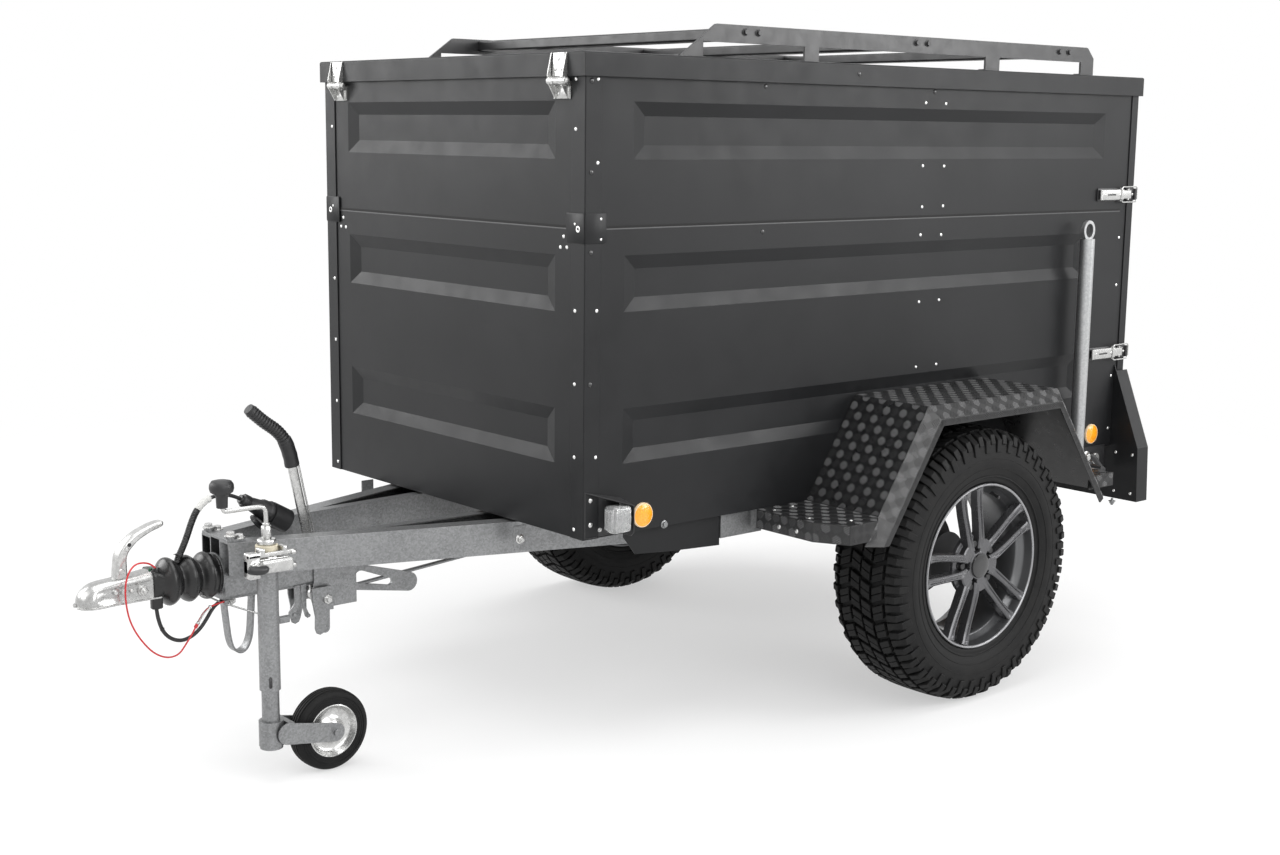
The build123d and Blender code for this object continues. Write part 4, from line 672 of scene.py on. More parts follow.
cable, cableLine = cordCurve("breakawayCable", cordRoutes["breakaway_cable"], 4, redSheath)
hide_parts("breakaway_cable")
boxPiece("cableFerrule", [sleeve(cableLine, 438, 449, 4.2, 0.3, 3, 12, 1)], "trailer", redSheath,
         slot="red_cable")
clipPath, _ = stretch(cableLine, 449, 497, 30)
clip = [bent(clipPath + (0, side * 3.4, 0), 1.5, 8) for side in (1, -1)]
clip += [sleeve(cableLine, 447, 453, 4.6, 0, 4, 12, 1), sleeve(cableLine, 494, 499, 4.6, 0, 4, 12, 1)]
coil = np.linspace(0, 2 * np.pi * 9, 220)
core, _ = stretch(cableLine, 455, 484, 220)
clip.append(bent(core + np.stack([2.9 * np.cos(coil), 2.9 * np.sin(coil), 0 * coil], 1), 0.6, 5))
boxPiece("springClip", clip, "trailer", zincPlate)

# Tow plug parked in its holder: both turned round the plug's axis.
plugTail = np.array([432, -40, -2.0])
plugAxis = np.array([0.863, 0, 0.505])
plugBody = [(7, 2), (7, 22), (9, 23.4), (46, 23.6), (50, 26.4), (53, 27.4), (60, 27.4), (63, 25.8),
            (66, 24.4), (80, 23.6), (86, 20), (112, 15.6), (116, 14.6), (118, 11.6), (141, 10.5),
            (141.4, 5)]
steps = 60
turn = np.arange(steps) * 2 * np.pi / steps
rings = turned(plugBody, plugTail, plugAxis, steps)
centre = plugTail + np.array(plugBody)[:, :1] * plugAxis / np.linalg.norm(plugAxis)
# twenty grip ribs on the body's collar: radius grows by half a millimetre on every rib
ribbed = np.array([53 <= s <= 60 or 66 <= s <= 80 for s, _ in plugBody])
size = 1 + 0.03 * ribbed[:, None] * (np.cos(20 * turn)[None] > 0)
rings = centre[:, None] + (rings - centre[:, None]) * size[..., None]
nut = spun([(113, 10), (113, 15.2), (115, 16.4), (132, 16.4), (134, 15), (134, 10)], plugTail, plugAxis, 8)
plug = boxPiece("leadPlug", [tube(rings), nut], "trailer", darkPlastic, slot="black_plastic")
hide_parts("lead_plug")

holderBody = [(0, 20), (0, 28), (2, 29), (16, 29), (18, 27.6), (32, 27.6), (34, 29), (47, 29), (50, 27.5),
              (50, 24.6)]
holder = [spun(holderBody + [(48, 24.2), (8, 24.2), (8, 2)], plugTail, plugAxis, 40)]
across = np.cross(plugAxis, (0, 1, 0))
lidPlace = plugTail + 66 * plugAxis - 33 * across
lidTurn = facing(-across * 0.93 + 0.37 * plugAxis)
lidProfile = [(-4, 0.5), (-4, 24), (-2, 26.5), (2, 26.5), (3.5, 24.5), (3.5, 15), (6, 13), (6, 0.5)]
holder.append(spun(lidProfile, lidPlace, lidTurn[:, 2], 36))
hinge = plugTail + 40 * plugAxis - 32 * across
holder.append(rod(hinge + (0, -11, 0), hinge + (0, 11, 0), 4.5, 14))
holder.append(rod(hinge + (0, -7, 0), lidPlace + (0, -7, 0), 2.6, 8))
holder.append(rod(hinge + (0, 7, 0), lidPlace + (0, 7, 0), 2.6, 8))
boxPiece("holderBody", holder, "trailer", darkPlastic, slot="black_plastic")
boxPiece("gaiterBoot", [slab((786, 14, -142), (812, 34, -112), 2, 6, 2)], "trailer", rubberSoft,
         slot="rubber")
print("cords, plug and holder made")


# Overrun gear: rubber gaiter with a collar over the coupling's rear end.
gaiterShape = {
    "axis": -90,
    "bellows": [(645, 30), (645, 46), (651, 47), (659, 53), (668, 55.5), (677, 52), (690, 38.5), (701, 49),
                (712, 54.5), (723, 50), (736, 38.5), (748, 50), (759, 55.5), (768, 53), (778, 41),
                (784, 36), (790, 35)],
}
hub = (0, 0, gaiterShape["axis"])
outline = smoothLine(gaiterShape["bellows"], 150)
bellows = spun(np.concatenate([outline, [(790, 20)]]), hub, (1, 0, 0), 56)
around = np.linspace(0, 2 * np.pi, 48, endpoint=False)
# the collar goes from a circle to the coupling's own squarish section: a superellipse of power n
collar = []
for x, wide, high, n in ((776, 36, 34, 2), (783, 35.5, 35, 2.6), (790, 34.5, 36, 3.6), (799, 34, 36.5, 4.4),
                         (806, 34, 36.5, 4.6), (807, 33, 35.5, 4.6), (807, 30.2, 33, 4.6)):
    c, s = np.cos(around), np.sin(around)
    size = (np.abs(c) ** n + np.abs(s) ** n) ** (-1 / n)
    collar.append(np.stack([np.full(48, float(x)), wide * size * c, -88 + high * size * s], 1))
cuff = rod((797, 24, -58), (797, 24, -47), 6.5, 14, 1.5)
gaiterPiece = boxPiece("gaiterBellows", [bellows, tube(collar), cuff], "trailer", rubberSoft, 50, "rubber")
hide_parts("gaiter")

# Coupling head: a hollow pressing lofted along x, with a turned-out rim and a pressed recess in each side.
headShape = {
    "x": [790, 800, 812, 850, 896, 925, 942, 954, 964, 971, 974.3],
    "top": [-60, -56, -54.5, -59, -62, -64, -67.5, -74, -82, -92, -103],
    "half": [30, 30, 30, 30, 31.5, 35, 37, 34.5, 28.5, 18.5, 5],
    "power": [0.42, 0.42, 0.42, 0.44, 0.55, 0.66, 0.78, 0.85, 0.9, 0.95, 1.0],
    "bottom": -113,
    "wall": 3.5,
    "rim": 5.0,
}
station = np.linspace(790, 974.3, 64)
top = smoothLine(list(zip(headShape["x"], headShape["top"])), 400)
half = smoothLine(list(zip(headShape["x"], headShape["half"])), 400)
topAt = np.interp(station, top[:, 0], top[:, 1])
halfAt = np.interp(station, half[:, 0], half[:, 1])
power = np.interp(station, headShape["x"], headShape["power"])
theta = np.linspace(0, np.pi, 49)


def headShell(inset, sink):
    # across the head: y = half * cos^power, z = bottom + height * sin^power, sunk sideways by the recess
    c, s = np.cos(theta), np.sin(theta)
    wide = (halfAt - inset)[:, None] * np.sign(c) * np.abs(c) ** power[:, None]
    high = (topAt - inset - headShape["bottom"])[:, None] * np.abs(s) ** power[:, None]
    level = high / (topAt - headShape["bottom"])[:, None]
    along = np.clip((station - 800) / 14, 0, 1) * np.clip((948 - station) / 26, 0, 1)
    band = np.clip((level - 0.12) / 0.1, 0, 1) * np.clip((0.74 - level) / 0.12, 0, 1)
    wide = wide - np.sign(wide) * sink * (along[:, None] * band)
    x = np.broadcast_to(station[:, None], wide.shape)
    return np.stack([x - inset * (station > 960)[:, None], wide, headShape["bottom"] + high], -1)


outer = headShell(0, 4.5)
inner = headShell(headShape["wall"], 4.5)
lipWide = headShape["rim"]
rimOut = outer[:, [0, -1]] + np.array([0, 1, 0]) * np.array([lipWide, -lipWide])[None, :, None]
rimOut[-8:, :, 0] += np.linspace(0, 3.5, 8)[:, None]
rimOut[..., 2] = headShape["bottom"] - 0.2
rimLow = rimOut - (0, 0, 3.2)
innerLow = inner[:, [0, -1]].copy()
innerLow[..., 2] = headShape["bottom"] - 3.4
rows = np.concatenate([innerLow[:, :1], rimLow[:, :1], rimOut[:, :1], outer, rimOut[:, 1:], rimLow[:, 1:],
                       innerLow[:, 1:], inner[:, ::-1]], 1)
count = rows.shape[1]
headFaces = [tuple(f) for f in gridFaces(len(station), count, False, True)]
headFaces += [tuple(range(count)), tuple(range((len(station) - 1) * count, len(station) * count))]
cupProfile = [(0, 29), (0, 25.3), (-10, 23.2), (-19, 16.7), (-25.3, 0.3), (-28.6, 0.3), (-21.5, 18.9),
              (-11.5, 26.2)]
cup = np.array([(-x, r) for x, r in cupProfile])
ballCup = spun(cup, (940, 0, -102), (0, 0, 1), 40, closed=True)
shank = rod((640, 0, -90), (795, 0, -90), 25, 32)
head = boxPiece("couplingHead", [(rows.reshape(-1, 3), headFaces), ballCup, shank], "trailer", zincCast, 45,
                "cast")
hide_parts("coupling_head")

headBolts = [((896, -88), 5.5, 4), ((877, -90), 6.5, 5), ((859, -90), 4.5, 4)]
bolts = []
for (x, z), radius, rise in headBolts:
    for side in (1, -1):
        bolts.append(rod((x, side * 20, z), (x, side * (30.5 + rise * 0.4), z), radius, 16, 1.2))
for side in (1, -1):
    bolts.append(rod((832, side * 20, -94), (832, side * 29.5, -94), 12, 24, 0.8))
    bolts.append(spun([(0, 0.5), (0, 9.5), (7, 9.5), (8.5, 7.5), (8.5, 0.5)], (832, side * 29, -94),
                      (0, side, 0), 6))
    bolts.append(rod((832, side * 34, -94), (832, side * 40, -94), 4.6, 12))
boxPiece("couplingBolts", bolts, "trailer", zincPlate, slot="zinc")
boxPiece("wearCap", [rod((806, 12, -58), (806, 12, -49), 4.5, 14, 1)], "trailer", greenCap)

# Coupling handle: a pressed channel, thick at its foot and rounded at the hand end.
handleShape = {
    "path": [(874, -62), (873, -38), (871, -16), (864, 0), (852, 13), (834, 27), (806, 40), (786, 46),
             (773, 49), (768, 50)],
    "thick": [31, 27, 24, 22, 20.5, 18.5, 16, 15, 12, 5],
    "wide": [31, 32, 33, 33, 33, 33, 33, 32, 26, 12],
}
path = smoothLine(handleShape["path"], 60)
spread = np.linspace(0, 1, 60)
knots = np.linspace(0, 1, len(handleShape["path"]))
thick = np.interp(spread, knots, handleShape["thick"])
wide = np.interp(spread, knots, handleShape["wide"])
path = np.stack([path[:, 0], 0 * path[:, 0], path[:, 1]], 1)
unit = carried(path, boxed(2, 2, 0.5, 5), (0, 1, 0)) - path[:, None]
acrossPart = unit * (0, 1, 0)
halfWide, halfThick = wide[:, None, None] / 2, thick[:, None, None] / 2
handleRings = path[:, None] + acrossPart * halfWide + (unit - acrossPart) * halfThick
handle = boxPiece("couplingHandle", [tube(handleRings)], "trailer", zincPlate, 50, "zinc")
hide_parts("coupling_handle")
foot = [rod((876, -19, -46), (876, 19, -46), 7, 18, 1.2), rod((861, 10, 2), (861, 18.2, 2), 4.5, 14, 1.2)]
boxPiece("handlePins", foot, "trailer", zincPlate, slot="zinc")
# a dark disc set in the handle: painted shade standing in for a hole through it
boxPiece("handleHoleShade", [rod((855, 10, 12), (855, 17.2, 12), 4.6, 16, 0.2)], "trailer", darkPlastic)
print("coupling made")


# Off-road tyres: a smooth carcass and tread blocks that stand on it. Across and radius are in mm.
tyreShape = {
    "pitches": 44,
    "section": [(0, 352), (30, 351.8), (58, 350.6), (84, 347.5), (98, 341), (105.5, 328.5), (109.5, 312),
                (112, 292), (112.5, 276), (109, 259), (104, 245), (101.5, 239), (99.5, 236), (98.5, 228),
                (94, 221.5), (86, 219.5), (82, 214)],
    "depthAt": [0, 84, 101, 117, 134],
    "depth": [12, 12, 10.5, 6, 4],
    "skirt": 3.0,            # how far a block's foot goes into the carcass
    "edge": 1.2,             # chamfer round each block's top
    "sipe": 0.035,           # cut across each block, as a part of a pitch
    "pitchLength": 41,       # turns the chamfer into a part of a pitch
    # each row: arc lengths it spans, blocks as parts of a pitch, lean across it, waviness of its edges
    "rows": [(3, 31, [(0.05, 0.80)], 0.22, 0.07), (39, 70, [(0.12, 0.86)], -0.26, 0.06),
             (79, 139, [(0.02, 0.40)], 0.10, 0.03), (79, 118, [(0.54, 0.90)], 0.07, -0.03)],
}
wheelMiddle = (tyreLow[1] + tyreHigh[1]) / 2
halfLine = smoothLine(tyreShape["section"], 260)
halfLength = np.concatenate([[0], np.cumsum(np.linalg.norm(np.diff(halfLine, axis=0), axis=1))])
halfOut = np.gradient(halfLine, axis=0)
halfOut = np.stack([-halfOut[:, 1], halfOut[:, 0]], 1) / np.linalg.norm(halfOut, axis=1, keepdims=True)


def wheelPoints(y, r, angle, side):
    # across and radius in mm and the turn about the axle, as places on the wheel of that side
    y, r, angle = np.broadcast_arrays(y, r, angle)
    return np.stack([axleX + r * mm * np.sin(angle), side * (wheelMiddle + y * mm),
                     axleZ + r * mm * np.cos(angle)], -1)


def carcass(side):
    # both half sections joined over the crown and turned round the axle
    half = smoothLine(tyreShape["section"], 46)
    outline = np.concatenate([half[::-1] * (-1, 1), half[1:]])
    angle = np.linspace(0, 2 * np.pi, 168, endpoint=False)
    rings = wheelPoints(outline[None, :, 0], outline[None, :, 1], angle[:, None], side)
    return rings.reshape(-1, 3), gridFaces(168, len(outline), True, True)


def blockRow(start, end, low, high, lean, wave, half, shift, side):
    # one block on every pitch: arc length runs with u and the pitch with v; code 0 is the foot, 1 the
    # chamfer's lower edge and 2 the top, so the height follows the lower code of the two directions
    u, codeU = np.array([0, 0, 0, 0.5, 1, 1, 1]), np.array([0, 1, 2, 2, 2, 1, 0])
    v, codeV = np.array([0, 0, 0, 1, 1, 1]), np.array([0, 1, 2, 2, 1, 0])
    code = np.minimum(codeU[:, None], codeV[None])
    edge, flat = tyreShape["edge"], code == 2
    t = start + (end - start) * u[:, None] + edge * (1 - 2 * u[:, None]) * flat
    s = low + (high - low) * v[None] + edge / tyreShape["pitchLength"] * (1 - 2 * v[None]) * flat
    s = s + lean * (u[:, None] - 0.5) + wave * np.sin(2 * np.pi * u[:, None]) + shift
    depth = np.interp(t, tyreShape["depthAt"], tyreShape["depth"])
    lift = np.choose(code, [-tyreShape["skirt"] + 0 * depth, depth - edge, depth])
    y, r = (np.interp(t, halfLength, halfLine[:, k]) + np.interp(t, halfLength, halfOut[:, k]) * lift
            for k in (0, 1))
    pitch = np.arange(tyreShape["pitches"])[:, None, None]
    angle = 2 * np.pi / tyreShape["pitches"] * (pitch + s[None]) * half
    points = wheelPoints(half * y[None], r[None], angle, side)
    quads = gridFaces(*code.shape)
    feet = pitch * code.size
    return points.reshape(-1, 3), (quads[None] + feet).reshape(-1, 4)


def treadBlocks(side):
    shells = []
    for half in (1, -1):
        for start, end, blocks, lean, wave in tyreShape["rows"]:
            for low, high in blocks:
                # the broad blocks of the middle rows are cut by a sipe
                middle, gap = (low + high) / 2, tyreShape["sipe"] / 2
                halves = ((low, middle - gap), (middle + gap, high)) if high - low > 0.5 else ((low, high),)
                for a, b in halves:
                    shells.append(blockRow(start, end, a, b, lean, wave, half, 0.5 * (half < 0), side))
    # moulded rib that guards the rim's edge and fine rings on the bare side wall
    for radius, across, size in ((240, 102.2, 2.4), (262, 110.0, 0.9), (288, 112.2, 0.9)):
        for half in (1, -1):
            loop = wheelPoints(half * across, radius, np.linspace(0, 2 * np.pi, 168, endpoint=False), side)
            shells.append(tube(carried(loop, ring(size * mm, 8), (0, 1, 0), True), closed=True))
    return shells


for side, name in ((1, "left"), (-1, "right")):
    tyre = makePiece(f"tyreBody_{name}", *joined(carcass(side), *treadBlocks(side)), f"wheel_{name}",
                     rubberTyre, 32, "tyre")
    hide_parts(f"tyre_{name}")
print("tyres made")

# Alloy wheels: turned barrel, five pairs of spokes nearly flush with the lip, and webs round the hub.
wheelShape = {
    "pairs": [13.4, 85.4, 157.4, 229.4, 301.4],      # degrees from straight up, towards the front
    "barrel": [(98, 221), (100.5, 219), (100.5, 216), (98.5, 213.5), (90, 211.5), (78, 209), (70, 206),
               (63, 197), (56, 192), (0, 190), (-56, 192), (-64, 199), (-72, 206), (-95, 211), (-100, 216),
               (-100, 221), (-95, 221), (-92, 214.5), (-72, 211), (-62, 197), (0, 195), (62, 197),
               (72, 211), (92, 214.5), (95, 221)],
    "spokeR": [46, 62, 74, 110, 150, 185, 205, 210],
    "spokeOff": [17.5, 21, 23, 26, 29, 31, 32, 32],   # each spoke's distance from its pair's middle line
    "spokeWide": [24, 23, 21.5, 19, 19, 20.5, 25, 28],
    "spokeFace": [91, 92.5, 94, 94.5, 94, 95.5, 99, 99],
    "spokeDeep": [24, 26, 26, 26, 25, 24, 22, 20],
    "chamfer": 3.6,
    "boltR": 61,
}


def spokeShell(pair, sign, side):
    # a chamfered bar whose width, depth and face follow the radius
    shape = wheelShape
    r = np.linspace(46, 210, 26)
    off, wide, face, deep = (np.interp(r, shape["spokeR"], shape[key])
                             for key in ("spokeOff", "spokeWide", "spokeFace", "spokeDeep"))
    c = shape["chamfer"]
    valley = np.interp(r, [46, 80, 200, 210], [0, 3.4, 3.4, 0])
    across = np.stack([-wide / 2 - 1.5, -wide / 2, -wide / 2 + c, -wide * 0.2, -wide * 0.12, wide * 0.12,
                       wide * 0.2, wide / 2 - c, wide / 2, wide / 2 + 1.5], 1)
    high = np.stack([face - deep, face - c, face, face, face - valley, face - valley, face, face, face - c,
                     face - deep], 1)
    x = off[:, None] * sign + across
    angle = np.radians(pair) + np.arctan2(x, r[:, None])
    points = wheelPoints(high, np.hypot(x, r[:, None]), angle, side)
    return tube(points)


def hubSector(pair, side):
    # solid web between two neighbouring pairs: a patch of angles and radii with chamfered edges
    middle = np.radians(pair + 36)
    radius = np.array([33, 35.5, 60, 71, 74])
    spread = np.array([24, 23.5, 19.5, 18.0, 16.0])
    share = np.array([-1, -0.94, 0, 0.94, 1])
    angle = middle + np.radians(spread[:, None] * share[None])
    faceY = np.array([88, 90.5, 91.5, 91.5, 88.5])[:, None] - np.array([2.5, 0, 0, 0, 2.5])[None]
    upper = wheelPoints(faceY, radius[:, None], angle, side)
    lower = wheelPoints(0 * faceY + 66, radius[:, None], angle, side)
    border = [*range(5), 9, 14, 19, 24, 23, 22, 21, 20, 15, 10, 5]
    faces = [tuple(f) for f in gridFaces(5, 5)] + [tuple(25 + np.array(f)) for f in gridFaces(5, 5)]
    faces += [(a, b, b + 25, a + 25) for a, b in zip(border, border[1:] + border[:1])]
    return np.concatenate([upper.reshape(-1, 3), lower.reshape(-1, 3)]), faces


def turnedWheel(profile, side, steps=96, closed=False):
    profile = np.asarray(profile, float)
    angle = np.linspace(0, 2 * np.pi, steps, endpoint=False)
    return tube(wheelPoints(profile[:, None, 0], profile[:, None, 1], angle[None], side), closed)


for side, name in ((1, "left"), (-1, "right")):
    body = f"wheel_{name}"
    spokes = [spokeShell(pair, sign, side) for pair in wheelShape["pairs"] for sign in (1, -1)]
    webs = [hubSector(pair, side) for pair in wheelShape["pairs"]]
    floor = turnedWheel([(60, 30), (60, 84), (68, 82), (72, 76), (72, 30)], side)
    collar = turnedWheel([(66, 32), (66, 38), (88, 38), (92, 36), (92, 32)], side, 64)
    wheel = makePiece(f"wheelFace_{name}", *joined(*spokes, *webs, floor, collar), body, alloy, 35, "alloy")
    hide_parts(f"rim_{name}")
    barrel = turnedWheel(wheelShape["barrel"], side, 144, True)
    makePiece(f"wheelBarrel_{name}", *barrel, body, alloyBarrel, 35, "alloy")
    # a lighter skin laid over the barrel's lip: a painted highlight ring round the wheel
    lip = turnedWheel([(97.6, 220.8), (100.9, 219.2), (100.9, 216.0), (98.8, 213.8), (97, 216)], side, 144,
                      True)
    makePiece(f"wheelLipHighlight_{name}", *lip, body, alloyLipHighlight, 35, "alloy")
    cap = turnedWheel([(80, 1), (80, 33), (93, 33.5), (96.5, 32), (98, 27), (98.6, 14), (98.8, 0.5)], side,
                      64)
    makePiece(f"hubCap_{name}", *cap, body, glossBlack, 35, "alloy")
    spots, out = [], (0, side, 0)
    for pair in wheelShape["pairs"]:
        spots.append(wheelPoints(72.0, wheelShape["boltR"], np.radians(pair), side))
    lug = [(0, 0.5), (0, 10.5), (3, 10.5), (5, 9), (12, 9), (14, 7.5), (14, 0.5)]
    lugs = strewn(spun(np.array(lug) * mm, (0, 0, 0), (0, 0, 1), 12), spots, [out] * 5)
    makePiece(f"wheelBolts_{name}", *lugs, body, satinBlack, 35, "zinc")
    stem = wheelPoints(np.array([58.0, 91.0]), np.array([197.0, 186.0]), np.radians(-22.6), side)
    valveLine = [(0, 0.5), (0, 5.5), (8, 4.2), (24, 4.2), (24.5, 5), (33, 5), (34, 4), (34, 0.5)]
    valve = spun(np.array(valveLine) * mm, stem[0], stem[1] - stem[0], 14)
    makePiece(f"valve_{name}", *valve, body, darkPlastic, 35)
print("wheels made")


# Tread plate of the mudguards: bars in a checkerboard of slanting groups, laid on each flat of the guard.
guardShape = {
    "cell": 28.0, "bar": [16, 21, 24, 21, 16], "apart": 4.7, "wide": 2.3, "high": 1.1, "turn": 35.0,
    "outer": 836.9, "fold": 30, "lip": 17, "step": (-560, -737), "lipDeep": 48, "rearStep": 785.5,
    "cut": (45, 142), "cutY": 754,      # the front step's slanting corners
    "outerLip": (-605, 98),             # each lip's start and length, then its foot and height
    "rearPlate": (-1645, 111, -12),     # start, length and level
    "rearLip": (-1650, 106, -49, 37),
    "path": [(-737, 0), (-911, 260), (-1442, 260), (-1664, -46)],
}


def barShell():
    # a low bar of unit length with slanting sides, lying along x
    foot = [(-0.5, -0.5, -0.3), (0.5, -0.5, -0.3), (0.5, 0.5, -0.3), (-0.5, 0.5, -0.3)]
    top = [(-0.42, -0.2, 1), (0.42, -0.2, 1), (0.42, 0.2, 1), (-0.42, 0.2, 1)]
    return np.array(foot + top), [(4, 5, 6, 7), (0, 1, 5, 4), (1, 2, 6, 5), (2, 3, 7, 6), (3, 0, 4, 7)]


def treadBars(group, corner, along, across, outline=None, clear=1.5):
    # bars on the parallelogram corner + along + across, kept clear of its edges or of another outline
    corner, along, across = (np.asarray(v, float) for v in (corner, along, across))
    long, wide = np.linalg.norm(along), np.linalg.norm(across)
    u, v = along / long, across / wide
    shape, hand = guardShape, np.sign(corner[1])
    nu, nv = (max(1, math.ceil(size / shape["cell"])) for size in (long, wide))
    i, j, k = np.meshgrid(np.arange(nu), np.arange(nv), np.arange(5), indexing="ij")
    slant = np.radians(np.where((i + j) % 2, shape["turn"] - 90, shape["turn"])) * hand
    shift = (k - 2) * shape["apart"]
    cu = (i + 0.5 - nu / 2) * shape["cell"] + long / 2 - shift * np.sin(slant)
    cv = (j + 0.5 - nv / 2) * shape["cell"] + wide / 2 + shift * np.cos(slant)
    size = np.array(shape["bar"])[k] * np.ones(cu.shape)
    half = np.stack([np.cos(slant), np.sin(slant)], -1) * size[..., None] / 2
    centre = np.stack([cu, cv], -1)
    if outline is None:
        outline = [(0, 0), (long, 0), (long, wide), (0, wide)]
    outline = np.asarray(outline, float)
    nextOne = np.roll(outline, -1, 0) - outline
    inward = np.stack([-nextOne[:, 1], nextOne[:, 0]], 1) / np.linalg.norm(nextOne, axis=1, keepdims=True)
    # a bar that crosses an edge is cut back: depth inside each edge is linear along the bar
    depth = ((centre[..., None, :] - outline) * inward).sum(-1) - clear
    change = (half[..., None, :] * inward).sum(-1)
    safe = np.where(np.abs(change) < 1e-9, 1e-9, change)
    low = np.where(change > 0, np.maximum(-1, -depth / safe), -1).max(-1)
    high = np.where(change < 0, np.minimum(1, -depth / safe), 1).min(-1)
    keep = (high - low > 0.3) & (low < 1) & (high > -1) & ((i + j) % 2 == group)
    centre = centre + half * ((low + high) / 2)[..., None]
    size = size * (high - low) / 2
    centre, slant, size = centre[keep], slant[keep], size[keep]
    points, faces = barShell()
    x = points[None, :, 0] * size[:, None]
    y = points[None, :, 1] * shape["wide"]
    c, s = np.cos(slant)[:, None], np.sin(slant)[:, None]
    flatU, flatV = centre[:, :1] + c * x - s * y, centre[:, 1:] + s * x + c * y
    normal = np.cross(u, v)
    if normal @ np.array([0.2, np.sign(corner[1]), 0.6]) < 0:
        normal = -normal
    rise = points[None, :, 2:] * shape["high"]
    verts = corner + flatU[..., None] * u + flatV[..., None] * v + rise * normal
    start = (np.arange(len(verts)) * len(points))[:, None, None]
    return verts.reshape(-1, 3), [tuple(f) for quad in np.array(faces)[None] + start for f in quad]


def shifted(path, distance):
    # the path moved to its left, with mitred corners
    path = np.asarray(path, float)
    d = np.diff(path, axis=0)
    d /= np.linalg.norm(d, axis=1, keepdims=True)
    left = np.stack([-d[:, 1], d[:, 0]], 1)
    before, after = np.concatenate([left[:1], left]), np.concatenate([left, left[-1:]])
    middle = before + after
    return path + middle * distance / (1 + (before * after).sum(1, keepdims=True))


guardOut, guardFold = guardShape["outer"], guardShape["fold"]
guardIn = guardOut - guardFold
skin = skinY / mm


def guardBars(side, group):
    # level faces first, then the tilted faces: slopes, outer band, lip and step edges
    path = np.array(guardShape["path"], float)
    low = shifted(path, guardFold)
    lower = shifted(path, guardFold + guardShape["lip"])
    level, tilted = [], []
    for k in range(3):
        a, b = (np.array([p[0], side * skin, p[1]]) for p in (path[k], path[k + 1]))
        (level if k == 1 else tilted).append(treadBars(group, a, b - a, (0, side * (guardIn - skin), 0)))
        a, b = (np.array([p[0], side * guardIn, p[1]]) for p in (path[k], path[k + 1]))
        c, d = (np.array([p[0], side * guardOut, p[1]]) for p in (low[k], low[k + 1]))
        u = (b - a) / np.linalg.norm(b - a)
        v = (c - a) - ((c - a) @ u) * u
        skew, far = (c - a) @ u, (d - a) @ u
        wide, long = np.linalg.norm(v), np.linalg.norm(b - a)
        tilted.append(treadBars(group, a, b - a, v, [(0, 0), (long, 0), (far, wide), (skew, wide)], 0.5))
        e = np.array([lower[k][0], side * guardOut, lower[k][1]])
        u = (d - c) / np.linalg.norm(d - c)
        v = (e - c) - ((e - c) @ u) * u
        tilted.append(treadBars(group, c, d - c, v))
    front, joint = guardShape["step"]
    (cutFront, cutRear), cutY = guardShape["cut"], guardShape["cutY"]
    stepOutline = [(0, 0), (front - joint, 0), (front - joint, guardIn - skin), (cutRear, guardOut - skin),
                   (cutFront, guardOut - skin), (0, cutY - skin)]
    wide, deep, stepOut = guardOut - skin, -guardShape["lipDeep"], guardShape["rearStep"]
    level.append(treadBars(group, (front, side * skin, 0), (joint - front, 0, 0), (0, side * wide, 0),
                           stepOutline))
    rear, long, z = guardShape["rearPlate"]
    level.append(treadBars(group, (rear, side * skin, z), (-long, 0, 0), (0, side * (stepOut - skin), 0)))
    tilted.append(treadBars(group, (front, side * skin, deep), (0, side * (cutY - skin), 0), (0, 0, -deep)))
    tilted.append(treadBars(group, (front, side * cutY, deep), (-cutFront, side * (guardOut - cutY), 0),
                            (0, 0, -deep)))
    rear, long = guardShape["outerLip"]
    tilted.append(treadBars(group, (rear, side * guardOut, deep), (-long, 0, 0), (0, 0, -deep)))
    rear, long, z, tall = guardShape["rearLip"]
    tilted.append(treadBars(group, (rear, side * stepOut, z), (-long, 0, 0), (0, 0, tall)))
    return level, tilted


for side, name in ((1, "left"), (-1, "right")):
    level, tilted = guardBars(side, 0)
    levelToo, dull = guardBars(side, 1)
    # one bar group on the tilted faces gets the lighter finish, a painted highlight for the light those bars
    # catch; all other bars keep the dark finish
    for label, shells, finish in (("treadHighlightBars", tilted, treadHighlight),
                                  ("treadBars", level + levelToo + dull, treadTop)):
        points, faces = joined(*shells)
        makePiece(f"{label}_{name}", placed(points), faces, "trailer", finish, 0, "chequer")
    spots = [(-587, side * 595, 30), (-656, side * 590, 30), (-589, side * 714, 30), (-654, side * 793, 30)]
    where, out = seated(spots, (0, 0, -1), f"mudguard_{name}")
    more, outMore = seated([(-540, side * 701, -31), (-540, side * 640, -31)], (-1, 0, 0),
                           f"mudguard_{name}")
    screws = strewn(domeShell(6 * mm, 3 * mm), np.concatenate([where, more]),
                    np.concatenate([out, outMore]))
    makePiece(f"guardScrews_{name}", *screws, "trailer", zincPlate, 40, "zinc")
print("tread plate made")

